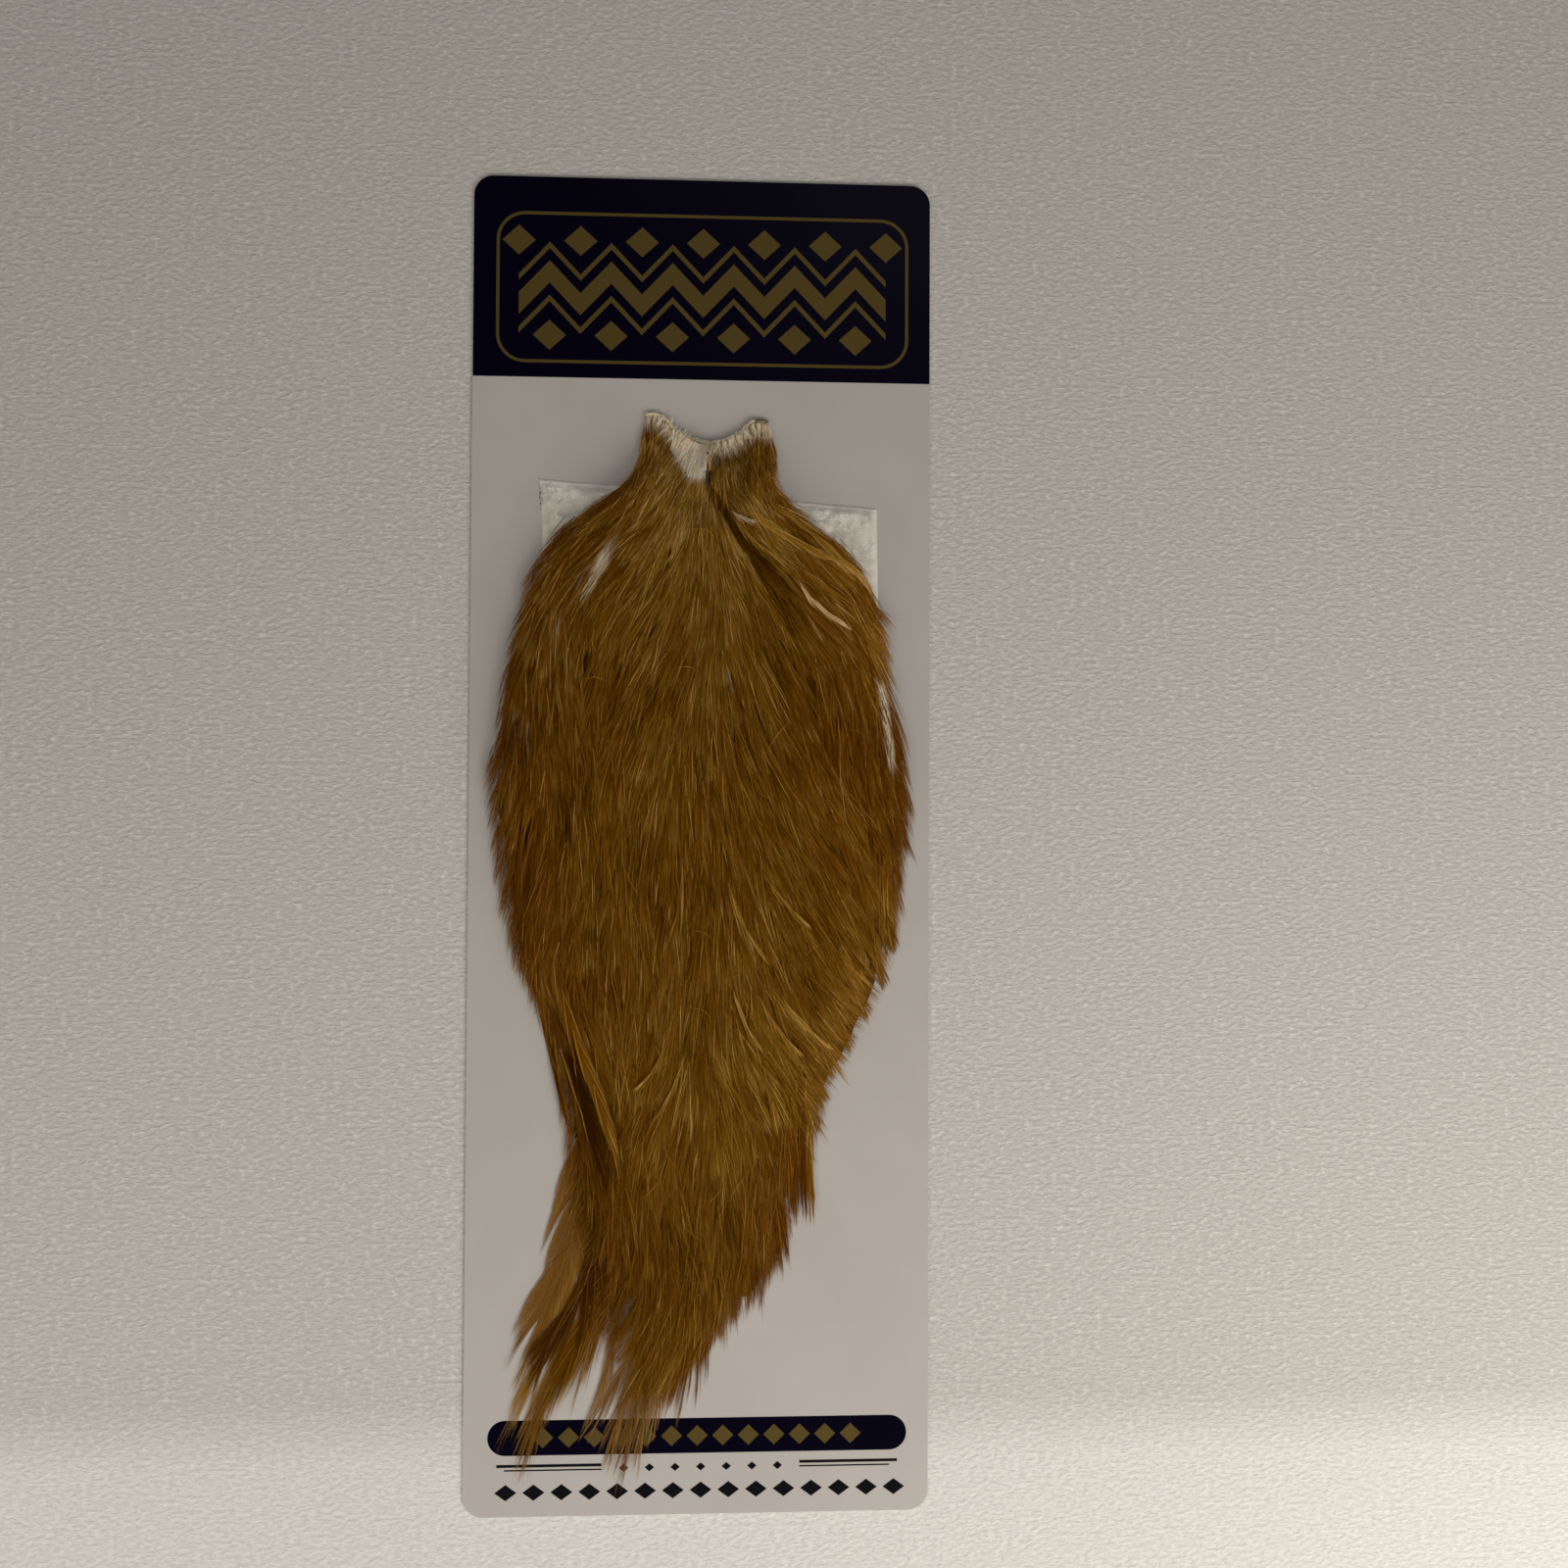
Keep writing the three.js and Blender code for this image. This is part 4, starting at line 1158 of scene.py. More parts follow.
def shafts(feathers, width, quill):
    """A low ridge along each feather, tapered to its tip. A quill above 0 makes it paler than the barbs."""
    total = len(feathers.length)
    owner = np.repeat(np.arange(total), SHAFT_STEPS + 1)
    share = np.tile(np.linspace(1, 0, SHAFT_STEPS + 1), total)
    back = share * feathers.barbed[owner] + TIP_SHARE * feathers.barb[owner]
    place, direction = along_path(feathers, owner, back)
    aside = np.column_stack([direction[:, 1], -direction[:, 0]])
    half_width = (width / 2 * (SHAFT_TIP + (1 - SHAFT_TIP) * share))[:, None]
    sink = feathers.sink[owner] + SLOPE_INTO_PLUMAGE * back
    points = np.empty((len(owner), 3, 3))
    for k, (offset, rise) in enumerate(((-1, 0.0), (0, SHAFT_RISE), (1, 0.0))):
        points[:, k, :2] = place + aside * half_width * offset
        points[:, k, 2] = lay(place, sink) + rise
    start = (np.arange(total)[:, None] * (SHAFT_STEPS + 1) + np.arange(SHAFT_STEPS)).ravel()[:, None] * 3
    quads = np.concatenate([start + np.array([0, 1, 4, 3]), start + np.array([1, 2, 5, 4])])
    marks = {
        "tone": np.repeat(np.clip(feathers.tone[owner] + SHAFT_TONE + quill, 0, 1), 3),
        "out": np.zeros(len(owner) * 3),
        "luck": np.full(len(owner) * 3, SHAFT_LUCK),
        "white": np.repeat(feathers.white[owner] + quill, 3),
    }
    return points.reshape(-1, 3), quads, marks


print("a shaft has", SHAFT_STEPS, "steps")

# %% [markdown]
# ## Feather finish
# A barb shines like hair, and thin ones let the light of the card come through, which is what makes the
# fringe glow gold. So the finish is a satin surface mixed with a translucent one. Two ramps hold the
# olive and the rust from dark to light, and the mark called tone picks a place on both. Along each barb
# a painted shade darkens it near the shaft, where the feather above shades it, and a painted highlight
# and a painted golden glow of light through the thin ends make it paler where it thins out. The white
# down has its own name, and a smaller translucent share.

# %% Feather finish
OLIVE_TONES = [
    (0.0, (0.050, 0.0140, 0.0002)), (0.45, (0.215, 0.085, 0.0016)), (0.8, (0.41, 0.220, 0.024)),
    (0.93, (0.60, 0.355, 0.065)), (1.0, (0.80, 0.54, 0.20)),
]
RUST_TONES = [
    (0.0, (0.045, 0.0100, 0.0001)), (0.45, (0.190, 0.060, 0.0008)), (0.8, (0.38, 0.170, 0.013)),
    (0.93, (0.58, 0.32, 0.050)), (1.0, (0.78, 0.50, 0.16)),
]
# painted golden glow of light through the thin ends of the barbs
TIP_GLOW_TONES = [(0.0, (0.10, 0.040, 0.001)), (0.5, (0.33, 0.17, 0.018)), (1.0, (0.60, 0.41, 0.13))]
DOWN_TONES = [
    (0.05, (0.30, 0.18, 0.06)), (0.36, (0.93, 0.76, 0.48)), (0.6, (1.0, 0.90, 0.70)),
    (0.8, (1.0, 0.97, 0.88)),
]
STREAK_TONE = 0.06
# painted shade near the shaft and painted highlight towards the barb's end
ALONG_PAINTED_SHADE_AND_LIGHT = 0.09
THIN_GLOW_SHARE = 0.3
BARB_SPECULAR = 0.13


def feather_finish(name, through=0.3):
    """Satin and a translucent share called through, coloured by the marks tone, out, warm and pale."""
    finish = Finish(name)
    streak = finish.noise(2.0, stretch=(1.0, 0.12, 1.0), detail=2.0)
    along, pale = finish.mark("out"), finish.mark("pale")
    tone = finish.plus(finish.mark("tone"), finish.grey(streak, 0.25, 0.75, -STREAK_TONE, STREAK_TONE))
    tone = finish.plus(tone, finish.grey(along, 0.0, 1.0, -ALONG_PAINTED_SHADE_AND_LIGHT, ALONG_PAINTED_SHADE_AND_LIGHT))
    olive, rust = finish.ramp(tone, OLIVE_TONES), finish.ramp(tone, RUST_TONES)
    colour = finish.mix(finish.mark("warm"), olive, rust)
    thin = finish.grey(along, 0.5, 1.0, 0.0, THIN_GLOW_SHARE)
    colour = finish.mix(thin, colour, finish.ramp(tone, TIP_GLOW_TONES))
    colour = finish.mix(pale, colour, finish.ramp(tone, DOWN_TONES))
    satin = finish.principled(
        Base_Color=colour, Roughness=finish.grey(streak, 0.3, 0.7, 0.36, 0.5),
        Specular_IOR_Level=BARB_SPECULAR,
        Specular_Tint=finish.mix(pale, (1.0, 0.62, 0.20), (1.0, 0.97, 0.92)))
    light_through = finish.node("ShaderNodeBsdfTranslucent", {"Color": colour}).outputs["BSDF"]
    return finish.done(finish.both(through, satin, light_through))


feather_material = feather_finish("hackle_barbs")
down_material = feather_finish("white_down", through=0.06)
print("finishes:", feather_material.name, down_material.name)

# %% [markdown]
# ## The plumage in pieces
# The feathers are cut into seven pieces by where their tips are, so that no mesh gets too heavy and each
# can be looked at alone. Pieces that lie above the furrow take none of its painted shade, and pieces of
# down take the down's finish.

# %% Feather pieces
PLUMAGE_LOOK = {"step": 0.36, "width": 0.18, "shaft": 0.22, "quill": 0.0}
UNSHADED = ("hackle_pale_vane", "shoulder_hackles")
DOWNY = ("collar_tufts", "collar_down", "bib_down", "staple_tuft", "hackle_pale_vane")


def feather_mesh(name, points, faces, marks, replaced):
    """Barbs as a piece. It takes the marks warm and pale from its place, and the furrow's painted shade."""
    marks["warm"] = warm_at(points[:, 0], points[:, 1])
    pale = pale_at(points[:, 0], points[:, 1], marks.pop("luck"))
    if name not in UNSHADED:
        shade = furrow_painted_shade(points[:, 0], points[:, 1])
        marks["tone"] = np.clip(marks["tone"] - shade, 0, 1)
        pale = pale * (1 - np.clip(shade, 0, 1))
    marks["pale"] = np.clip(np.maximum(pale, marks.pop("white")), 0, 1)
    material = down_material if name in DOWNY else feather_material
    return build_piece(name, points, faces, material, marks, replaced=replaced)


def feather_piece(name, feathers, replaced, rng, **look):
    """Whole feathers as a piece. The look may change the barbs' step and width, the shaft and its quill."""
    look = SimpleNamespace(**{**PLUMAGE_LOOK, **look})
    points, quads, ends, marks = barb_ribbons(feathers, look.step, look.width, rng)
    more_points, more_quads, more_marks = shafts(feathers, look.shaft, look.quill)
    more_quads = more_quads + len(points)
    points = np.concatenate([points, more_points])
    marks = {mark: np.concatenate([marks[mark], more_marks[mark]]) for mark in marks}
    return feather_mesh(name, points, [quads, more_quads, ends], marks, replaced)


print("down pieces:", *DOWNY)

# %% Build the plumage
NECK_END = 97
SHOULDER_END = 60
MIDDLE_END = -8
TAIL_START = -75
MIDDLE_HALF = 20


def chosen(feathers, which):
    return SimpleNamespace(**{name: values[which] for name, values in vars(feathers).items()})


tip_x, tip_y = tips.T
body = (tip_y < SHOULDER_END) & (tip_y >= TAIL_START)
middle = body & (np.abs(tip_x) <= MIDDLE_HALF)
REGIONS = {
    "neck_feathers": tip_y >= NECK_END,
    "shoulder_feathers": (tip_y < NECK_END) & (tip_y >= SHOULDER_END),
    "left_feathers": body & (tip_x < -MIDDLE_HALF),
    "right_feathers": body & (tip_x > MIDDLE_HALF),
    "middle_feathers": middle & (tip_y >= MIDDLE_END),
    "back_feathers": middle & (tip_y < MIDDLE_END),
    "tail_feathers": tip_y < TAIL_START,
}
for name, where in REGIONS.items():
    feather_piece(name, chosen(plumage, where), ["cape"], rng)

# %% [markdown]
# ## Undercoat
# Under the visible tips lie the webby bases of the same feathers. You only see them as darkness between
# the barbs, so they are one soft body just below the surface, combed dark and brown. Under the collar's
# white it is pale too, or dark specks would show between the down. It is matt, because a gloss down
# there would shine between the barbs.

# %% Closed sheets
def closed_sheet(name, x, y, top, bottom, material, marks, replaced):
    """A closed sheet over a grid of rows and columns: its upper side, its lower side and its edge."""
    upper = np.stack([x, y, top], axis=2).reshape(-1, 3)
    lower = np.stack([x, y, bottom], axis=2).reshape(-1, 3)
    index = np.arange(len(upper)).reshape(x.shape)
    here, right, below, across = index[:-1, :-1], index[:-1, 1:], index[1:, :-1], index[1:, 1:]
    top_quads = np.stack([here, below, across, right], axis=2).reshape(-1, 4)
    low_quads = np.stack([here, right, across, below], axis=2).reshape(-1, 4) + len(upper)
    ring = np.concatenate([index[0], index[1:, -1], index[-1, -2::-1], index[-2:0:-1, 0]])
    after = np.roll(ring, -1)
    walls = np.column_stack([ring, after, after + len(upper), ring + len(upper)])
    marks = {mark: np.tile(values.ravel(), 2) for mark, values in marks.items()}
    return build_piece(name, np.concatenate([upper, lower]), [top_quads, low_quads, walls], material, marks,
                       replaced=replaced)


print("a closed sheet has an upper side, a lower side and an edge")

# %% Undercoat finish
undercoat_finish = Finish("feather_bases")
strands = undercoat_finish.noise(1.1, stretch=(1.0, 0.1, 1.0), detail=3.0)
base_brown = undercoat_finish.ramp(strands, [(0.3, (0.035, 0.013, 0.001)), (0.75, (0.12, 0.052, 0.005))])
base_down = undercoat_finish.ramp(strands, [(0.3, (0.60, 0.46, 0.26)), (0.75, (0.98, 0.86, 0.62))])
undercoat_colour = undercoat_finish.mix(undercoat_finish.mark("pale"), base_brown, base_down)
undercoat_material = undercoat_finish.done(undercoat_finish.principled(
    Base_Color=undercoat_colour, Roughness=0.85, Specular_IOR_Level=0.08,
    Normal=undercoat_finish.bump(strands, 0.5)))
print("finish:", undercoat_material.name)

# %% Undercoat
UNDERCOAT_SINK = 1.5
UNDERCOAT_INSET = 2.4
UNDERCOAT_ROWS = 150
UNDERCOAT_COLUMNS = 44
UNDERCOAT_END = 26.0
INSET_SHARE = 0.3
NECK_INSET = 1.0
NECK_INSET_ABOVE = 100
INSET_WAVER = 0.5
RIM_INSET = (1.0, 0.8)
UNDERCOAT_GAP = 0.02
LEAST_THICK = 0.05
EDGE_THICK = 0.03

rows = np.linspace(COLLAR_TOP - RIM_INSET[0], TAIL_END + UNDERCOAT_END, UNDERCOAT_ROWS)
shares = np.linspace(0, 1, UNDERCOAT_COLUMNS)
row_left, row_right = in_table(OUTLINE, rows, 1), in_table(OUTLINE, rows, 2)
inset = np.minimum(UNDERCOAT_INSET, INSET_SHARE * (row_right - row_left))
inset = np.where(rows > NECK_INSET_ABOVE, NECK_INSET, inset) + INSET_WAVER * wavering(rows, 3.0, 37)
row_left, row_right = row_left + inset, row_right - inset
x = row_left[:, None] + (row_right - row_left)[:, None] * shares
y = np.minimum(np.repeat(rows[:, None], UNDERCOAT_COLUMNS, axis=1), rim_at(x) - RIM_INSET[1])
bottom = ground(y) + UNDERCOAT_GAP
top = np.maximum(surface(x, y) - UNDERCOAT_SINK, bottom + LEAST_THICK)
top[:, [0, -1]] = bottom[:, [0, -1]] + EDGE_THICK
top[[0, -1]] = bottom[[0, -1]] + EDGE_THICK
# the furrow's painted shade takes the white out of the undercoat there
undercoat_pale = pale_at(x, y, 0.5) * (1 - np.clip(furrow_painted_shade(x, y), 0, 1))
closed_sheet("undercoat", x, y, top, bottom, undercoat_material, {"pale": undercoat_pale},
             ["cape"])

# %% [markdown]
# ## Fringe and stray hairs
# The outline of a cape is never a clean line. Single barbs stand off it by a millimetre or three, and a
# few curled ones lie across the rest. They are the same ribbons, only thinner and set one by one.

# %% Fringe
FRINGE_SPACING = 0.22
FRINGE_WIDTH = 0.15
FRINGE_ENDS = (4.0, 103.0)
FRINGE_NECK = 92
FRINGE_BEYOND = (0.4, 2.4)
FRINGE_LENGTH = (6, 11)
FRINGE_ANGLE = 13
FRINGE_CURL = 16
FRINGE_SINK = 1.6
FRINGE_TONE = 0.10
HAIR_ROLL = 0.3
HAIR_LUCK = 0.9


def loose_hairs(name, tips, angle, length, curl, sink, width, tone, rng, white=0.0):
    """Single hairs that end at the tips, pointing at angle, and curl by so much on the way."""
    ending = np.column_stack([np.sin(angle), -np.cos(angle)])
    leaving = np.column_stack([np.sin(angle - curl), -np.cos(angle - curl)])
    base = tips - length[:, None] * (leaving + ending) / 2
    widths = width * rng.uniform(0.7, 1.3, len(tips))
    sink = np.reshape(sink, (len(tips), -1))
    roll = HAIR_ROLL * rng.normal(size=len(tips))
    points, quads, ends = ribbons(base, leaving, ending, length, sink, widths, roll)
    marks = {
        "tone": np.repeat(np.clip(tone, 0, 1), BARB_POINTS),
        "out": np.tile(ALONG_POINTS, len(tips)),
        "luck": np.full(len(tips) * BARB_POINTS, HAIR_LUCK),
        "white": np.repeat(np.broadcast_to(white, len(tips)), BARB_POINTS),
    }
    return feather_mesh(name, points, [quads, ends], marks, ["cape"])


for name, column, outward in (("left_fringe", 1, -1.0), ("right_fringe", 2, 1.0)):
    y = np.arange(TAIL_END + FRINGE_ENDS[0], FRINGE_ENDS[1], FRINGE_SPACING) + rng.uniform(-1, 1)
    y = y + rng.normal(size=len(y))
    beyond = np.where(y > FRINGE_NECK, *FRINGE_BEYOND) * rng.random(len(y)) ** 2
    x = in_table(OUTLINE, y, column) + outward * beyond
    angle = lie_at(x, y) + outward * np.radians(rng.uniform(0, FRINGE_ANGLE, len(y)))
    length = rng.uniform(*FRINGE_LENGTH, len(y))
    curl = -outward * np.radians(rng.uniform(0, FRINGE_CURL, len(y)))
    tone = tone_and_light_at(x, y) + FRINGE_TONE + FRINGE_TONE * rng.normal(size=len(y))
    sink = rng.uniform(0.0, FRINGE_SINK, len(y))
    loose_hairs(name, np.column_stack([x, y]), angle, length, curl, sink, FRINGE_WIDTH, tone, rng)

# %% Stray hairs
STRAY_HAIRS = 26
STRAY_Y = (-110, 85)
STRAY_INSET = 9
STRAY_ANGLE = (25, 80)
STRAY_LENGTH = (5, 10)
STRAY_CURL = 90
STRAY_LIFT = 0.6
STRAY_WIDTH = 0.14
STRAY_TONE = 0.85

y = rng.uniform(*STRAY_Y, STRAY_HAIRS)
x = (in_table(OUTLINE, y, 2) - STRAY_INSET) * rng.uniform(-1, 1, STRAY_HAIRS)
turns = rng.choice([-1, 1], STRAY_HAIRS) * rng.uniform(*STRAY_ANGLE, STRAY_HAIRS)
length = rng.uniform(*STRAY_LENGTH, STRAY_HAIRS)
curl = np.radians(rng.uniform(-STRAY_CURL, STRAY_CURL, STRAY_HAIRS))
loose_hairs("stray_hairs", np.column_stack([x, y]), lie_at(x, y) + np.radians(turns), length, curl,
            np.full(STRAY_HAIRS, -STRAY_LIFT), STRAY_WIDTH, np.full(STRAY_HAIRS, STRAY_TONE), rng)

# %% [markdown]
# ## Single hackles
# A few feathers lie apart from the rest: long ones at the lower left with clear shafts and smooth vanes
# that end in loose wisps, a rusty tuft at the lower right, a twisted glossy lock, and narrow pale and
# golden ones on the right shoulder. Each follows a middle line of its own, and is made of the same barbs.
# A row is that line, then the barbed length, the barbs' length, how far they open in degrees, the tone,
# how deep it lies (below 0 it lies higher than the rest) and how blunt its tip is.

# %% Lines of the single hackles
HACKLES = {
    "hackle_outer": [
        ([(-29, -75), (-31.2, -87.3), (-32.7, -94.2), (-33.8, -102.7), (-34.7, -110.3), (-37.6, -117.8),
         (-40.6, -124.8), (-43.6, -130.8), (-46, -136.3)], 62, 22, 26, 0.48, 0.2, 0.8),
    ],
    "hackle_long": [
        ([(-27.3, -79), (-26.8, -95.9), (-26.9, -103.1), (-28, -112.2), (-32, -124.7), (-38.7, -134.3),
         (-42.6, -142), (-44.0, -148)], 62, 20, 18, 0.10, -0.9, 0.5),
    ],
    "hackle_inner": [
        ([(-20.1, -100.7), (-22.1, -111.7), (-25.1, -121.1), (-29.8, -130.6), (-34.2, -139.7),
         (-37.8, -148.7)], 44, 18, 14, 0.34, -0.3, 0.7),
    ],
    "hackle_rust": [
        ([(29.6, -61.2), (30.3, -75.5), (30.5, -85.7), (31.1, -99.4)], 36, 11, 8, 0.60, -0.4, 1.0),
        ([(27.2, -61), (27.9, -73.1), (28.3, -83.5), (28.9, -98.2)], 34, 11, 8, 0.24, -0.7, 1.0),
        ([(24.8, -58.9), (25.5, -72.9), (26.1, -83.2), (26.5, -97.2)], 34, 11, 8, 0.32, -0.4, 1.0),
        ([(22.9, -58.8), (23.9, -72.8), (24.3, -83), (24.2, -91.6)], 32, 11, 9, 0.42, -0.2, 1.0),
    ],
    "hackle_twisted": [
        ([(-43.4, -23), (-42.6, -33.4), (-41.3, -40.5), (-39.2, -47.5), (-36.7, -53.9), (-33.2, -63.8),
         (-29.9, -74.9), (-27.5, -84.1), (-25, -92)], 66, 14, 11, 0.0, -1.3, 0.6),
        ([(-41, -21.5), (-39.7, -29.4), (-38, -37.1), (-35.2, -47.6), (-31.2, -58.1), (-27, -70),
         (-23.6, -80.5), (-21.6, -89)], 62, 15, 10, 0.56, -1.9, 0.5),
        ([(-44.6, -41.7), (-42, -51.8), (-39.8, -60.7), (-37.4, -69.7),
         (-34.4, -79.5)], 34, 12, 6, 0.38, -0.3, 0.5),
    ],
    "hackle_pale": [
        ([(25.8, 70.8), (28.2, 67.1), (32.5, 63), (37.4, 59.7), (40.3, 57.6)], 17, 5.5, 9, 1.0, -2.0, 0.4),
    ],
}
print(sum(map(len, HACKLES.values())), "single hackles")

# %% Lines of the raised hackles
EXTRA_HACKLES = {
    "shoulder_hackles": [
        ([(11.3, 96.2), (15.4, 93.7), (20.8, 91.3), (27.8, 86.6), (35.3, 79.2), (41.2, 75.3),
         (46.1, 71.5)], 38, 10, 12, 0.90, -1.0, 0.4),
        ([(8.3, 92.1), (15.9, 87.5), (22.3, 83.4), (29.3, 79.6), (37, 76)], 30, 9, 11, 0.86, -0.9, 0.4),
        ([(32.3, 79.7), (36.2, 76.9), (41.2, 74.4), (44.6, 71.3), (47, 68)], 18, 7, 7, 1.0, -0.7, 0.4),
        ([(4.6, 94.3), (7, 90.4), (9.3, 87), (13.6, 82), (18.8, 77.9),
         (23.6, 73.4)], 24, 8, 5, 0.84, -0.6, 0.4),
        ([(18.8, 80.3), (25.5, 75.4), (32.1, 70.5), (37.9, 66.3), (42.3, 61.1)], 26, 8, 7, 0.72, -0.5, 0.4),
        ([(7, 90.7), (8.8, 88.9), (11.3, 87.5), (14.4, 86.4)], 6, 4, 13, 0.9, -0.9, 0.4),
    ],
    "sweeping_hackles": [
        ([(45, -8), (49, -16), (52.2, -24), (54.0, -31)], 20, 9, 12, 0.56, 0.2, 0.5),
        ([(41, -18), (46, -27), (49.2, -34), (50.8, -41)], 20, 9, 12, 0.52, 0.2, 0.5),
        ([(35, -27), (40, -36), (44.2, -43), (46.4, -49.5)], 20, 9, 12, 0.56, 0.2, 0.5),
        ([(30, -36), (35, -45), (39.2, -52), (41.6, -58.5)], 20, 9, 12, 0.52, 0.2, 0.5),
        ([(26, -44), (31, -52), (34.8, -59), (36.8, -65.5)], 20, 9, 12, 0.56, 0.2, 0.5),
        ([(24, -54), (28.5, -61), (32.2, -67), (34.0, -73)], 18, 9, 12, 0.52, 0.2, 0.5),
        ([(1.1, -13.5), (4.9, -26.2), (10.5, -39), (18.1, -50.8),
         (28.7, -62.1)], 34, 13, 7, 0.62, -0.4, 0.4),
        ([(3.1, -7.6), (7.7, -19.4), (14.2, -32.1), (21.9, -44),
         (32.5, -55.3)], 34, 12, 7, 0.58, -0.4, 0.4),
        ([(0.1, -23.3), (3, -35.1), (7.7, -46.9), (14.3, -57.8),
         (22.9, -67.8)], 34, 12, 7, 0.62, -0.4, 0.4),
        ([(6.8, -17.4), (12.4, -30.1), (19, -41), (27.6, -51), (37.5, -58.7)], 30, 12, 6, 0.56, -0.4, 0.4),
        ([(-1.8, -33.1), (0.1, -45.9), (3.9, -57.7), (9.6, -68.8),
         (16.4, -77.8)], 32, 12, 6, 0.56, -0.4, 0.4),
        ([(-7.2, 19.6), (-5.4, 6.1), (-4.4, -5.7), (-5.4, -17.4),
         (-8.4, -27.2)], 30, 12, 7, 0.56, -0.4, 0.4),
        ([(-22.1, 29.4), (-24.9, 17.7), (-26, 6.1), (-25.1, -5.7),
         (-23.3, -15.5)], 30, 12, 7, 0.5, -0.4, 0.4),
        ([(18.5, -35.1), (23.4, -44), (28.8, -50.1), (36.5, -57)], 18, 9, 5, 0.82, -0.7, 0.4),
        ([(13.9, -37), (17.6, -45.2), (22.4, -52.5), (28.4, -58.7)], 18, 9, 5, 0.80, -0.7, 0.4),
        ([(6.7, -32.1), (9.3, -41), (12.3, -49.3), (17.1, -57)], 16, 7, 6, 0.84, -0.7, 0.4),
        ([(5.9, -3.7), (7.8, -12.1), (11, -21.6), (18.6, -33.4)], 22, 8, 5, 0.8, -0.6, 0.4),
        ([(14.3, -4.7), (18.5, -11.1), (23.5, -17.3), (30.4, -24)], 18, 8, 5, 0.8, -0.6, 0.4),
        ([(-7.5, -50.9), (-9.3, -55.8), (-12.2, -61.7), (-17.6, -67.7)], 14, 7, 5, 0.74, -0.6, 0.4),
        ([(-4.7, -59.8), (-6.5, -65.6), (-8.9, -70.6), (-12.2, -75.7)], 14, 7, 5, 0.74, -0.6, 0.4),
    ],
    "left_streamers": [
        ([(-28.8, -95.1), (-32, -111.6), (-36.6, -125.7), (-41.2, -137.8), (-45.8, -147.7),
         (-48.4, -155)], 46, 21, 8, 0.66, 0.2, 0.8),
        ([(-26.9, -102.9), (-31.1, -121.7), (-36.2, -135.7), (-41.3, -148.8), (-44.9, -160.7),
         (-45.4, -167)], 46, 22, 8, 0.56, 0.1, 0.8),
        ([(-23, -108.8), (-26.1, -121.2), (-30.7, -131.7), (-35.3, -142.7),
         (-39.9, -153.7)], 40, 20, 9, 0.60, 0.1, 0.8),
        ([(-21.1, -106.7), (-23.1, -117.8), (-26.2, -127.5), (-29.7, -137.7),
         (-32.9, -147.7)], 34, 19, 9, 0.60, 0.1, 0.8),
        ([(-19.1, -102.7), (-21.1, -114.7), (-23.7, -125.1), (-26.8, -133.6),
         (-29.1, -141.7)], 34, 19, 9, 0.60, 0.1, 0.8),
        ([(-30.7, -91.3), (-33.9, -107.7), (-38, -120.8), (-42.5, -132.7),
         (-47.2, -144.5)], 50, 21, 9, 0.60, 0.5, 0.8),
        ([(-25.9, -110.9), (-30.1, -125.7), (-35.2, -137.7), (-40.3, -149.8),
         (-43, -159.7)], 40, 20, 8, 0.52, 0.1, 0.8),
    ],
    "tail_wisps": [
        ([(-18.6, -118), (-21.8, -131), (-23.6, -141), (-27.4, -153)], 30, 15, 8, 0.60, 0.3, 0.9),
        ([(-13.4, -126.8), (-17.4, -138.9), (-22.5, -148.6), (-28, -157.7)], 30, 14, 12, 0.60, 0.3, 0.9),
        ([(-13.4, -130.8), (-17.4, -145), (-21.1, -155.6), (-23.7, -167.7)], 32, 14, 12, 0.56, 0.3, 0.9),
        ([(-11.4, -130.9), (-14.4, -144.9), (-17.6, -157.2), (-20.3, -169.6)], 32, 14, 11, 0.55, 0.3, 0.9),
        ([(-8.5, -128.8), (-11.5, -142.9), (-14.2, -155), (-16, -166.4)], 32, 14, 11, 0.58, 0.3, 0.9),
        ([(-4.6, -124.8), (-8, -138.9), (-10.6, -150.1), (-12.1, -159.3)], 32, 13, 12, 0.58, 0.3, 0.9),
        ([(-0.7, -120.8), (-3.6, -132.9), (-7.1, -143), (-10, -153.2)], 32, 12, 12, 0.58, 0.3, 0.9),
        ([(5.1, -114.8), (1.3, -127), (-1.6, -137.1), (-5.1, -147.5)], 30, 12, 12, 0.55, 0.4, 0.9),
        ([(11.8, -104.8), (9, -117.1), (5.2, -128.3), (1.3, -139.6)], 30, 12, 12, 0.55, 0.4, 0.9),
        ([(16.6, -98.9), (14.8, -111.2), (12, -121.4), (8.6, -130.6)], 30, 12, 12, 0.5, 0.4, 0.9),
        ([(21.3, -91), (21.1, -103.5), (19.3, -113.6), (17.4, -122.8)], 30, 12, 12, 0.5, 0.4, 0.9),
    ],
}
print(sum(map(len, EXTRA_HACKLES.values())), "raised hackles, streamers and wisps")

# %% Build the single hackles
SINGLE_LOOK = {"step": 0.2, "width": 0.2, "shaft": 0.3}
RAISED_LOOK = {"step": 0.26, "width": 0.16, "shaft": 0.2}
WISP_LOOK = {"step": 0.22, "width": 0.06, "shaft": 0.14}
LOOKS = {
    "hackle_outer": {"step": 0.18, "width": 0.16, "shaft": 0.22, "quill": 0.18},
    "hackle_long": {"step": 0.20, "width": 0.20, "shaft": 0.26, "quill": 0.25},
    "hackle_twisted": {"step": 0.16, "width": 0.22, "shaft": 0.20},
    "hackle_pale": {"step": 0.14, "width": 0.17, "shaft": 0.20},
    "shoulder_hackles": RAISED_LOOK, "sweeping_hackles": RAISED_LOOK,
    "left_streamers": WISP_LOOK, "tail_wisps": WISP_LOOK,
}
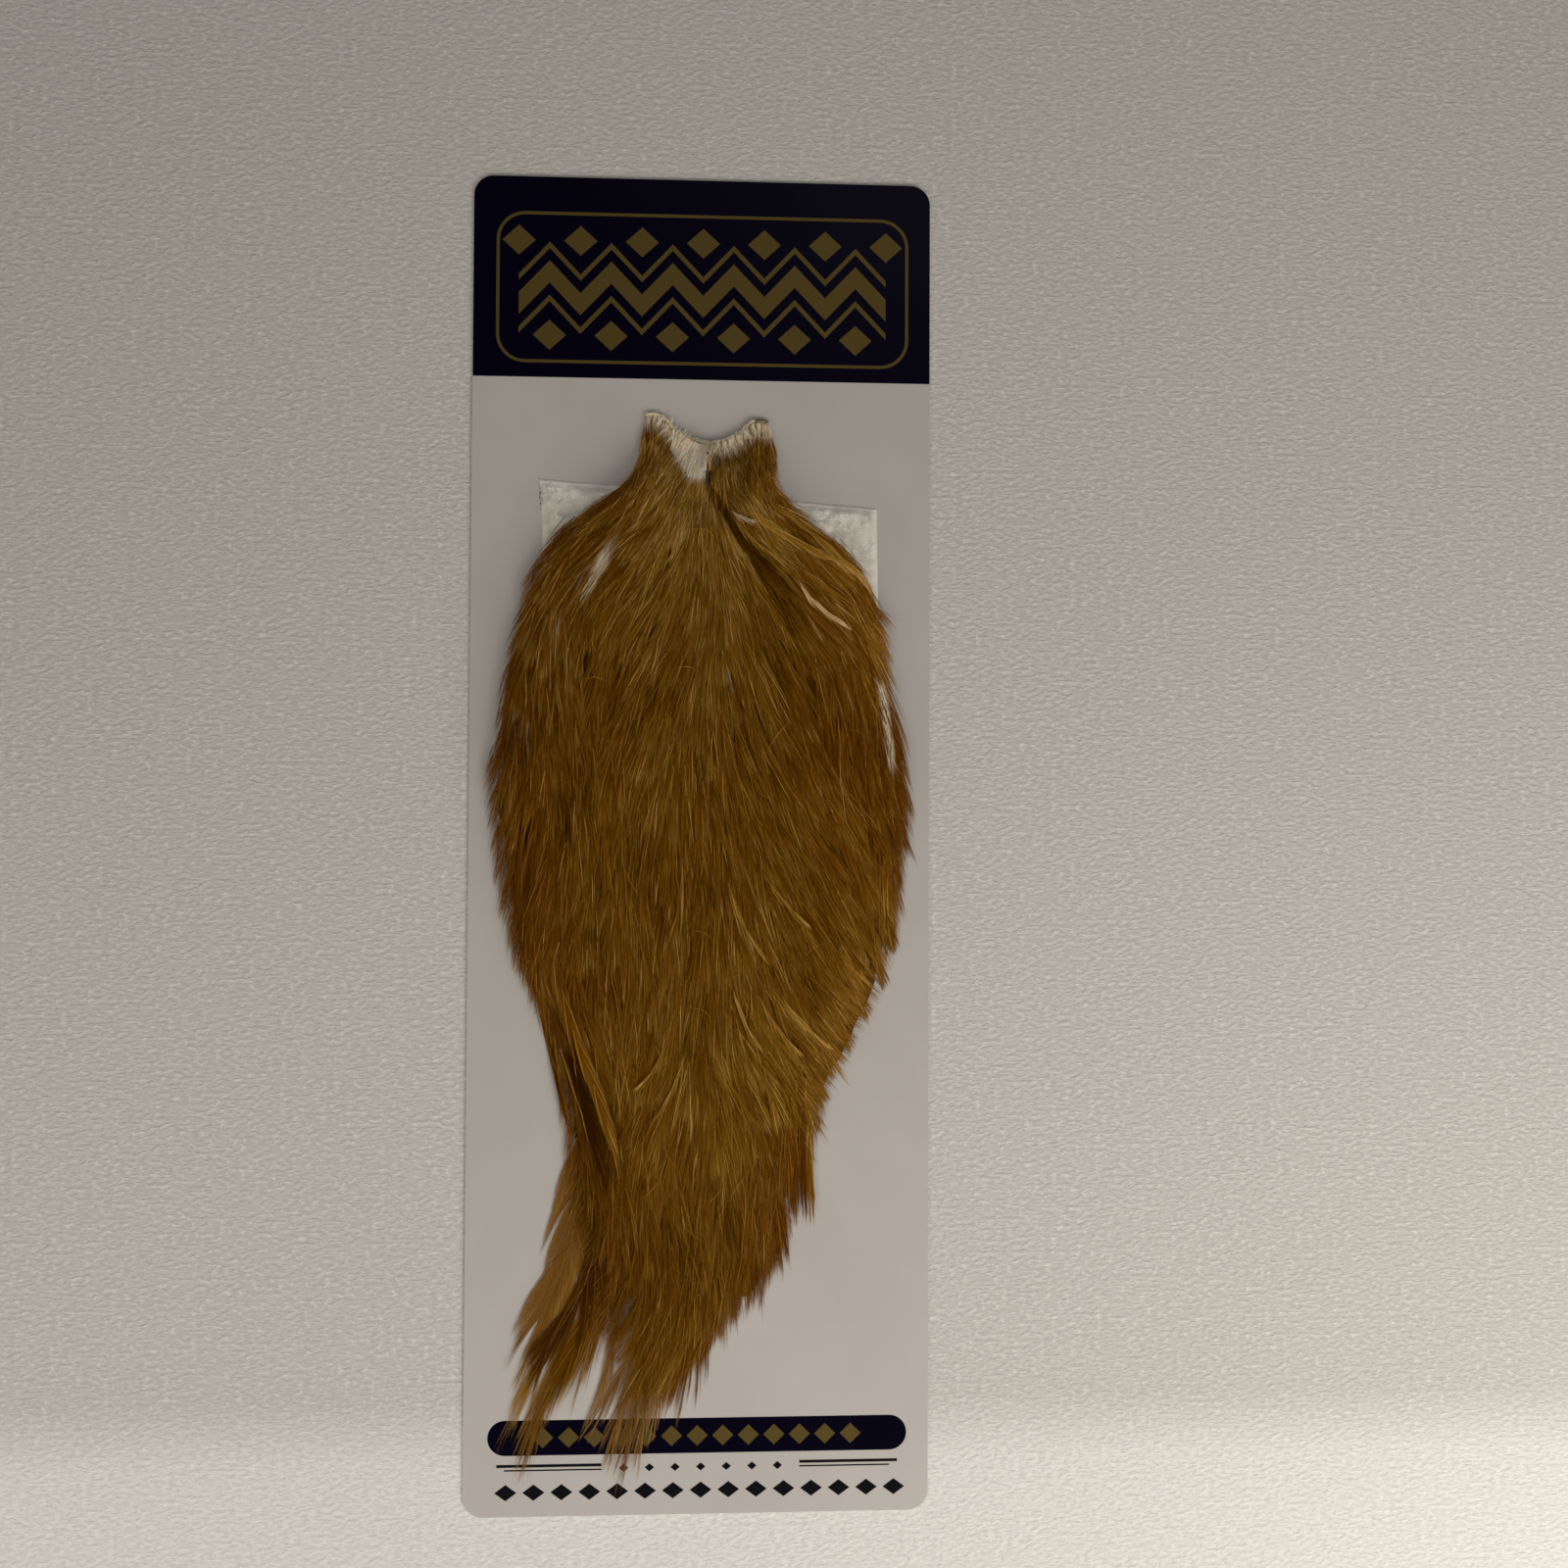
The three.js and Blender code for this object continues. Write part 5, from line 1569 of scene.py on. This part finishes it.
WHITES = {"hackle_outer": 0.04, "hackle_pale": 0.16, "left_streamers": 0.02, "tail_wisps": 0.05}
RUFFLES = {"hackle_twisted": 0.08, "left_streamers": 0.8, "tail_wisps": 0.8}
SINGLE_RUFFLE = 0.22
PALE_HACKLE = 0.35


def smooth_path(line, steps):
    """A soft curve through the points, cut into steps of equal length."""
    line = np.array(line, dtype=float)
    fine = np.linspace(0, len(line) - 1, 20 * steps + 1)
    curve = np.column_stack([np.interp(fine, np.arange(len(line)), line[:, axis]) for axis in (0, 1)])
    for _ in range(40):
        curve[1:-1] = (curve[:-2] + curve[1:-1] * 2 + curve[2:]) / 4
    run = np.concatenate([[0], np.cumsum(np.hypot(*np.diff(curve, axis=0).T))])
    even = np.linspace(0, run[-1], steps + 1)
    return np.column_stack([np.interp(even, run, curve[:, axis]) for axis in (0, 1)]), run[-1]


def single_hackles(hackles, ruffle, white=0.0):
    """Feathers along given lines: each with its barbed length, barb, opening, tone, sink and blunt tip."""
    lines, barbed, barb, opening, tone, sink, blunt = zip(*hackles)
    paths, lengths = zip(*(smooth_path(line, PATH_STEPS) for line in lines))
    lengths, barb = np.array(lengths), np.array(barb, dtype=float)
    count = len(lines)
    return SimpleNamespace(
        path=np.array(paths), length=lengths, barbed=np.minimum(barbed, lengths - TIP_SHARE * barb),
        barb=barb, opening=np.radians(opening), sink=np.array(sink), tone=np.array(tone),
        blunt=np.array(blunt), ruffle=np.full(count, ruffle), white=np.full(count, white),
        painted_light=np.zeros((count, 2)))


for name, hackles in {**HACKLES, **EXTRA_HACKLES}.items():
    singles = single_hackles(hackles, RUFFLES.get(name, SINGLE_RUFFLE), WHITES.get(name, 0.0))
    if name == "shoulder_hackles":
        singles.white[-1] = PALE_HACKLE
    piece, solid = (name + "_vane", name) if name in HACKLES else (name, "cape")
    feather_piece(piece, singles, [solid], rng, **LOOKS.get(name, SINGLE_LOOK))

# %% Bare shaft and crossing hair
LOCK_LINE = [(-38.4, -55), (-37.4, -57.6), (-34.7, -66), (-31.7, -73.8), (-29.7, -82)]
CROSSING_TIP = (-47.6, -128.0)

lock = single_hackles([(LOCK_LINE, 26, 2, 2, 0.85, -1.5, 0.4)], 0.0, 0.04)
feather_piece("lock_shaft", lock, ["cape"], rng, step=0.3, width=0.10, shaft=0.24, quill=0.05)
angle, length, curl, sink, tone = (np.array([value]) for value in (-0.33, 25.6, 0.62, -0.6, 0.0))
loose_hairs("crossing_hair", np.array([CROSSING_TIP]), angle, length, curl, sink, 0.16, tone, rng)

# %% [markdown]
# ## Collar tufts
# Along the cut, every feather base shows as a small white tuft. The tufts start square to the rim and
# then turn into the lie of the rest, which gives the scalloped white edge. The ends of their barbs get a
# painted shade. Short hairs of down fill the edge between them, with a painted shade in the gaps.

# %% Collar tufts
TUFT_PITCH = 1.9
TUFT_ENDS = (0.8, 0.4)
TUFT_LENGTH = 6.5
TUFT_SIZE = (0.85, 1.2)
TUFT_BARB = 3.8
TUFT_BELOW = 1.1
TUFT_TURN = 4.5
TUFT_SQUARE = 0.9
TUFT_OPENING = (9, 14)
TUFT_LIFT = 0.3
# painted shade on the ends of the tufts' barbs
TUFT_PAINTED_SHADE = 0.3
RIM_TONE = 0.62
RIM_TONE_SPREAD = 0.1
SLOPE_REACH = 1.5


def rim_slope(x):
    """Which way the collar's cut faces at x, in radians."""
    return np.arctan((rim_at(x + SLOPE_REACH) - rim_at(x - SLOPE_REACH)) / (2 * SLOPE_REACH))


tuft_x = np.arange(COLLAR[0][0] + TUFT_ENDS[0], COLLAR[-1][0] - TUFT_ENDS[1], TUFT_PITCH)
tuft_count = len(tuft_x)
tuft_length = TUFT_LENGTH * rng.uniform(*TUFT_SIZE, tuft_count)
place = np.column_stack([tuft_x, rim_at(tuft_x) - TUFT_BELOW])
tuft_path = [place]
stride = tuft_length / PATH_STEPS
for step in range(PATH_STEPS):
    turn = ease(stride * (step + 0.5) / TUFT_TURN)
    angle = TUFT_SQUARE * rim_slope(tuft_x) * (1 - turn) + lie_at(*place.T) * turn
    place = place + stride[:, None] * np.column_stack([np.sin(angle), -np.cos(angle)])
    tuft_path.append(place)
tufts = SimpleNamespace(
    path=np.stack(tuft_path, axis=1), length=tuft_length, barbed=tuft_length - TIP_SHARE * TUFT_BARB,
    barb=np.full(tuft_count, TUFT_BARB), opening=np.radians(rng.uniform(*TUFT_OPENING, tuft_count)),
    sink=np.full(tuft_count, -TUFT_LIFT), tone=RIM_TONE + RIM_TONE_SPREAD * rng.normal(size=tuft_count),
    ruffle=np.ones(tuft_count), white=np.zeros(tuft_count), blunt=np.full(tuft_count, BLUNT_TIP),
    painted_light=np.full((tuft_count, 2), -TUFT_PAINTED_SHADE))
feather_piece("collar_tufts", tufts, ["cape"], rng, step=0.16, width=0.2, shaft=0.2)

# %% Collar down
DOWN_SPACING = 0.1
DOWN_ENDS = (0.3, 0.2)
DOWN_START = 1.0
DOWN_LENGTH = (2.5, 4.5)
DOWN_LEAN = 0.06
DOWN_CURL = 0.3
DOWN_SINK = 0.1
DOWN_WIDTH = 0.2
GAP_HALF = 0.2
GAP_PAINTED_SHADE = 0.40

down_x = np.arange(COLLAR[0][0] + DOWN_ENDS[0], COLLAR[-1][0] - DOWN_ENDS[1], DOWN_SPACING)
in_gap = np.abs((down_x - tuft_x[0]) / TUFT_PITCH % 1 - 0.5) < GAP_HALF
length = rng.uniform(*DOWN_LENGTH, len(down_x))
angle = 0.5 * rim_slope(down_x) + 0.5 * lie_at(down_x, rim_at(down_x) - 3)
angle = angle + DOWN_LEAN * rng.normal(size=len(down_x))
down_y = rim_at(down_x) - DOWN_START - length * np.cos(angle)
down_tips = np.column_stack([down_x + length * np.sin(angle), down_y])
# painted shade on the down in the gaps between tufts
tone = RIM_TONE - GAP_PAINTED_SHADE * in_gap + RIM_TONE_SPREAD * rng.normal(size=len(down_x))
sink = np.full(len(down_x), DOWN_SINK)
loose_hairs("collar_down", down_tips, angle, length, DOWN_CURL * rim_slope(down_x), sink, DOWN_WIDTH,
            tone, rng)

# %% [markdown]
# ## White bib
# Below the collar, left of the parting, the white down spreads into a bib that fades out among golden
# hairs. The fade isn't a soft edge: each hair is white or golden, and the white ones get rarer. So each
# hair draws its own whiteness, around a value that falls towards the bib's lower end.

# %% White bib
BIB_HAIRS = 1500
BIB_Y = (97.0, 107.6)
BIB_MIDDLE = (-1.2, -3.4)
BIB_HALF = (2.4, 5.6)
BIB_RIGHT = 0.6
BIB_UPWARD = 0.6
BIB_WHITE = (0.15, 1.6, 0.35)
BIB_LENGTH = (4.0, 8.0)
BIB_ROOM = 1.5
BIB_LEAN = 0.07
BIB_CURL = 0.15
BIB_SINK = (-0.7, -0.1)
BIB_TONE = (0.58, 0.24)


def between(ends, share):
    """From the first of two values to the second."""
    return ends[0] + (ends[1] - ends[0]) * share


share = rng.random(BIB_HAIRS) ** BIB_UPWARD
y = between(BIB_Y, share)
low_white, more_white, white_spread = BIB_WHITE
white = np.clip(low_white + more_white * share + white_spread * rng.normal(size=BIB_HAIRS), 0, 1)
aside = np.clip(0.5 * rng.normal(size=BIB_HAIRS), -1, 1)
x = np.minimum(between(BIB_MIDDLE, share) + between(BIB_HALF, share) * aside, BIB_RIGHT)
length = np.minimum(rng.uniform(*BIB_LENGTH, BIB_HAIRS), rim_at(x) - y - BIB_ROOM)
angle = lie_at(x, y + 3) + BIB_LEAN * rng.normal(size=BIB_HAIRS)
curl = BIB_CURL * rng.normal(size=BIB_HAIRS)
sink = rng.uniform(*BIB_SINK, BIB_HAIRS)
tone = BIB_TONE[0] + BIB_TONE[1] * rng.normal(size=BIB_HAIRS)
loose_hairs("bib_down", np.column_stack([x, y]), angle, length, curl, sink, DOWN_WIDTH, tone, rng,
            white=white)

# %% [markdown]
# ## Tuft over the staple
# The staple's upper end stands higher than the skin there, and left bare it is a blue-grey spot in the
# white. So a small tuft of down is combed over it: its hairs start low near the rim, arch above the
# wire, and come down a little towards their tips.

# %% Tuft over the staple
STAPLE_X = 1.4
COVER_HAIRS = 420
COVER_Y = (100.6, 104.4)
COVER_LIFT = np.array([0.6, 2.9, 2.9, 2.3])
COVER_LIFTS = (0.75, 1.0)
COVER_HALF = 1.4
COVER_ROUND = 2.2
COVER_LENGTH = (5.0, 7.5)
COVER_ROOM = 1.2
COVER_LEAN = 0.08
COVER_CURL = 0.12
COVER_TONE = (0.5, 0.2)
COVER_WHITE = (0.9, 0.5, 0.3)

x = STAPLE_X + COVER_HALF * np.clip(0.6 * rng.normal(size=COVER_HAIRS), -1, 1)
y = rng.uniform(*COVER_Y, COVER_HAIRS)
length = np.minimum(rng.uniform(*COVER_LENGTH, COVER_HAIRS), rim_at(x) - y - COVER_ROOM)
lift = rng.uniform(*COVER_LIFTS, COVER_HAIRS) * (1 - ((x - STAPLE_X) / COVER_ROUND) ** 2)
angle = lie_at(x, y) + COVER_LEAN * rng.normal(size=COVER_HAIRS)
curl = COVER_CURL * rng.normal(size=COVER_HAIRS)
tone = COVER_TONE[0] + COVER_TONE[1] * rng.normal(size=COVER_HAIRS)
most_white, white_fall, white_spread = COVER_WHITE
white = most_white - white_fall * (x - STAPLE_X + 1) + white_spread * rng.normal(size=COVER_HAIRS)
loose_hairs("staple_tuft", np.column_stack([x, y]), angle, length, curl, -lift[:, None] * COVER_LIFT,
            DOWN_WIDTH, tone, rng, white=np.clip(white, 0, 1))

# %% [markdown]
# ## Skin
# Along the collar's cut you see the edge of the skin itself: a cream line, with olive brown behind it
# where the skin is bare. It has dried and rippled a little, and is nearly black on top of the right ear.
# One closed tube follows the cut from ear to ear, and two marks on its points place the colours.

# %% Skin finish
skin_finish = Finish("dried_skin")
skin_grain = skin_finish.noise(1.2, detail=4.0)
cream = skin_finish.ramp(skin_grain, [(0.3, (0.74, 0.58, 0.32)), (0.7, (1.0, 0.90, 0.66))])
olive_skin = skin_finish.ramp(skin_grain, [(0.3, (0.20, 0.13, 0.03)), (0.7, (0.50, 0.37, 0.14))])
scorched = skin_finish.ramp(skin_grain, [(0.35, (0.05, 0.03, 0.01)), (0.65, (0.42, 0.32, 0.18))])
skin_colour = skin_finish.mix(skin_finish.mark("rim"), olive_skin, cream)
skin_colour = skin_finish.mix(skin_finish.mark("scorch"), skin_colour, scorched)
skin_material = skin_finish.done(skin_finish.principled(
    Base_Color=skin_colour, Roughness=0.5, Subsurface_Weight=0.1, Subsurface_Scale=0.0006,
    Normal=skin_finish.bump(skin_grain, 0.3)))
print("finish:", skin_material.name)

# %% Skin
SKIN_STEPS = 110
SKIN_SIDES = 8
SKIN_HALF_WIDTH = 0.75
SKIN_HALF_HEIGHT = 0.35
SKIN_BELOW = 0.55
SKIN_LIFT = 0.2
SKIN_RIPPLE = 0.25
SKIN_END = 0.3
CREAM_SIDE = (1.6, 1.3)
BLACK_EAR = 14.2
BLACK_FADE = 0.6

skin_x = np.linspace(COLLAR[0][0], COLLAR[-1][0], SKIN_STEPS)
skin_y = rim_at(skin_x) - SKIN_BELOW + SKIN_RIPPLE * wavering(skin_x, 2.0, 31)
skin_z = ground(skin_y) + SKIN_HALF_HEIGHT + SKIN_LIFT + SKIN_RIPPLE * wavering(skin_x, 3.0, 32, row=9)
swell = 1 + SKIN_RIPPLE * wavering(skin_x, 1.2, 33, row=4)
swell[[0, -1]] = SKIN_END
slope = np.gradient(skin_y, skin_x)
across = np.column_stack([-slope, np.ones_like(slope)]) / np.hypot(slope, 1)[:, None]
around = np.arange(SKIN_SIDES) * 2 * math.pi / SKIN_SIDES
reach = (SKIN_HALF_WIDTH * swell)[:, None] * np.cos(around)
skin_points = np.stack([
    skin_x[:, None] + across[:, :1] * reach, skin_y[:, None] + across[:, 1:] * reach,
    skin_z[:, None] + SKIN_HALF_HEIGHT * np.sin(around)], axis=2)
index = np.arange(SKIN_STEPS * SKIN_SIDES).reshape(SKIN_STEPS, SKIN_SIDES)
beside = np.roll(index, -1, axis=1)
tube = np.stack([index[:-1], beside[:-1], beside[1:], index[1:]], axis=2).reshape(-1, 4)
caps = np.stack([index[0][::-1], index[-1]])
skin_marks = {
    "rim": np.tile(ease(CREAM_SIDE[0] * np.cos(around) + CREAM_SIDE[1]), SKIN_STEPS),
    "scorch": np.repeat(ease((skin_x - BLACK_EAR) / BLACK_FADE), SKIN_SIDES),
}
build_piece("collar_skin", skin_points.reshape(-1, 3), [tube, caps], skin_material, skin_marks,
            replaced=["cape"])

# %% [markdown]
# ## Film sleeve
# Under the neck lies a film sleeve, folded to a square. Thin clear film gone over with creases looks
# whitish, with a bright rolled rim at the fold and sharp little glints. The sheet is a fine grid with
# crumpled heights, in a milky gloss. Four marks place what differs: the rolled rim with a painted
# highlight, the crumpled parts with painted glints and painted shade along their veins, the clear margins,
# and dark lines of painted shade in the folds where the left edge is crumpled.

# %% Film finish
# painted glints and painted shade along the veins of the crumpled parts
FILM_PAINTED_CREASES = [
    (0.36, (0.92, 0.90, 0.82)), (0.44, (0.66, 0.64, 0.57)), (0.50, (1.0, 0.98, 0.94)),
    (0.55, (0.82, 0.80, 0.72)), (0.64, (0.95, 0.93, 0.87)),
]

film_finish = Finish("folded_film")
film_haze = film_finish.noise(0.18, detail=3.0)
film_fine = film_finish.noise(1.4, detail=4.0, roughness=0.7)
film_painted_veins = film_finish.noise(0.42, detail=4.0, roughness=0.6)
film_plain = film_finish.ramp(film_haze, [(0.35, (0.70, 0.685, 0.60)), (0.65, (0.90, 0.88, 0.78))])
film_creased = film_finish.ramp(film_painted_veins, FILM_PAINTED_CREASES)
film_colour = film_finish.mix(film_finish.mark("creased"), film_plain, film_creased)
# painted highlight along the rolled rim
film_colour = film_finish.mix(film_finish.mark("rim"), film_colour, (1.0, 0.985, 0.94))
# dark lines of painted shade in the folds at the left edge
wrinkle_lines = film_finish.ramp(film_fine, [(0.46, (0.02, 0.02, 0.02)), (0.56, (0.8, 0.78, 0.7))])
film_colour = film_finish.mix(film_finish.mark("wrinkle"), film_colour, wrinkle_lines)
film_material = film_finish.done(film_finish.principled(
    Base_Color=film_colour, Roughness=film_finish.grey(film_fine, 0.3, 0.7, 0.1, 0.3), IOR=1.46,
    Transmission_Weight=film_finish.grey(film_finish.mark("clear"), 0.0, 1.0, 0.03, 0.2),
    Coat_Weight=0.8, Coat_Roughness=0.08, Normal=film_finish.bump(film_fine, 0.25)))
print("finish:", film_material.name)

# %% Film sheet
SLEEVE_TOP_CORNERS = ((-45.2, 99.7), (48.7, 92.8))
SLEEVE_BOTTOM_CORNERS = ((-40.8, 34.0), (49.6, 32.0))
FILM_COLUMNS = 130
FILM_ROWS = 90
FILM_GAP = 0.02
FILM_THIN = 0.06
FILM_TOP_GAP = 0.1
FILM_SHOULDER = 3.2
FILM_BODY = (0.45, 0.75)
LEAST_BODY = 0.1


def creases(x, y, cell, seed):
    """Sharp folds: noise folded about zero, so that its zero lines become ridges."""
    return 1 - np.abs(value_noise(x, y, cell, seed)) * 2


u, v = np.meshgrid(np.linspace(0, 1, FILM_COLUMNS), np.linspace(0, 1, FILM_ROWS))
(tlx, tly), (trx, try_) = SLEEVE_TOP_CORNERS
(blx, bly), (brx, bry) = SLEEVE_BOTTOM_CORNERS
x = (tlx * (1 - u) + trx * u) * (1 - v) + (blx * (1 - u) + brx * u) * v
y = (tly * (1 - u) + try_ * u) * (1 - v) + (bly * (1 - u) + bry * u) * v
to_top, to_side = v * (tly - bly), np.minimum(u, 1 - u) * (trx - tlx)
film_edge = ease(np.minimum(to_top, to_side) / FILM_SHOULDER)
crumple = 0.5 * creases(x + y * 0.4, y, 7.0, 41) + 0.3 * creases(x - y * 0.6, y + x * 0.2, 3.2, 42)
crumple += 0.2 * creases(x, y, 1.6, 43)
film_body = np.clip(FILM_BODY[0] + FILM_BODY[1] * crumple, LEAST_BODY, 1.0)
sleeve_low, sleeve_high = card_face / MM + FILM_GAP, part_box("sleeve")[1].z / MM
film_top = sleeve_low + FILM_THIN + (sleeve_high - sleeve_low - FILM_TOP_GAP) * film_edge * film_body
print("film up to", round(float(film_top.max() - sleeve_low), 2), "mm thick")

# %% Film marks
FILM_RIM = 0.9
RIM_WAVER = 0.35
RIM_START = 1.6
SIDE_RIM = 0.4
PAINTED_CREASES_TOP = (1.25, 9.0)
PAINTED_CREASES_SIDE = (1.3, 3.5)
CLEAR_MARGIN = (2.4, 0.8)
WRINKLE_SHADE_PLACE = (-45.2, 94.4)
WRINKLE_REACH = (1.0, 3.0)

wavy_rim = FILM_RIM + RIM_WAVER * value_noise(x, y * 0, 5.0, 44)
side_rim_highlight = SIDE_RIM * ease(RIM_START - to_side / FILM_RIM) * (x > 0)
film_rim_highlight = np.maximum(ease(RIM_START - to_top / wavy_rim), side_rim_highlight)
patchy = 0.5 + 0.8 * value_noise(x, y, 5.0, 45)
creased_top = ease(PAINTED_CREASES_TOP[0] - to_top / PAINTED_CREASES_TOP[1]) * ease(patchy + 0.2)
creased_side = (x > 0) * ease(PAINTED_CREASES_SIDE[0] - to_side / PAINTED_CREASES_SIDE[1]) * ease(patchy)
wrinkle_x, wrinkle_y = (x - WRINKLE_SHADE_PLACE[0]) / WRINKLE_REACH[0], (y - WRINKLE_SHADE_PLACE[1]) / WRINKLE_REACH[1]
film_marks = {
    "rim": film_rim_highlight,
    "clear": ease(1 - abs(to_side - CLEAR_MARGIN[0]) / CLEAR_MARGIN[1]) * (1 - film_rim_highlight),
    "creased": np.clip(creased_top + creased_side, 0, 1),
    "wrinkle": np.exp(-wrinkle_x ** 2 - wrinkle_y ** 4),
}
closed_sheet("film_sleeve", x, y, film_top, np.full_like(film_top, sleeve_low), film_material,
             film_marks, ["sleeve"])

# %% [markdown]
# ## Staple
# The staple keeps its solid from the packed model. Drawn steel wire has fine lines along its length and
# rounded edges, so it gets a small bevel and a brushed finish. Its steel is painted dark, as a painted
# shade of the parting that it lies in between the dark barbs.

# %% Staple
WIRE_BEVEL = 0.12
BEVEL_STEPS = 3

steel_finish = Finish("shaded_drawn_steel")
drawing = steel_finish.noise(2.0, stretch=(8.0, 0.6, 8.0), detail=4.0)
# the steel is painted dark, as shade of the parting
shaded_steel_colour = steel_finish.ramp(drawing, [(0.3, (0.05, 0.045, 0.04)), (0.7, (0.16, 0.15, 0.14))])
dress("neck_staple", steel_finish.done(steel_finish.principled(
    Base_Color=shaded_steel_colour, Metallic=1.0, Roughness=steel_finish.grey(drawing, 0.3, 0.7, 0.25, 0.42),
    Normal=steel_finish.bump(drawing, 0.02))))
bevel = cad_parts["neck_staple"].modifiers.new("rounded_wire", "BEVEL")
bevel.width = WIRE_BEVEL * MM
bevel.segments = BEVEL_STEPS

# %% [markdown]
# ## The sizes
# The packed part's box and the dressed part's box, printed side by side.

# %% Write the sizes and finish
dressed_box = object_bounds()
for label, (low, high) in (("packed", cad_box), ("dressed", dressed_box)):
    print(label, [round(value / MM, 1) for value in (*low, *high)])
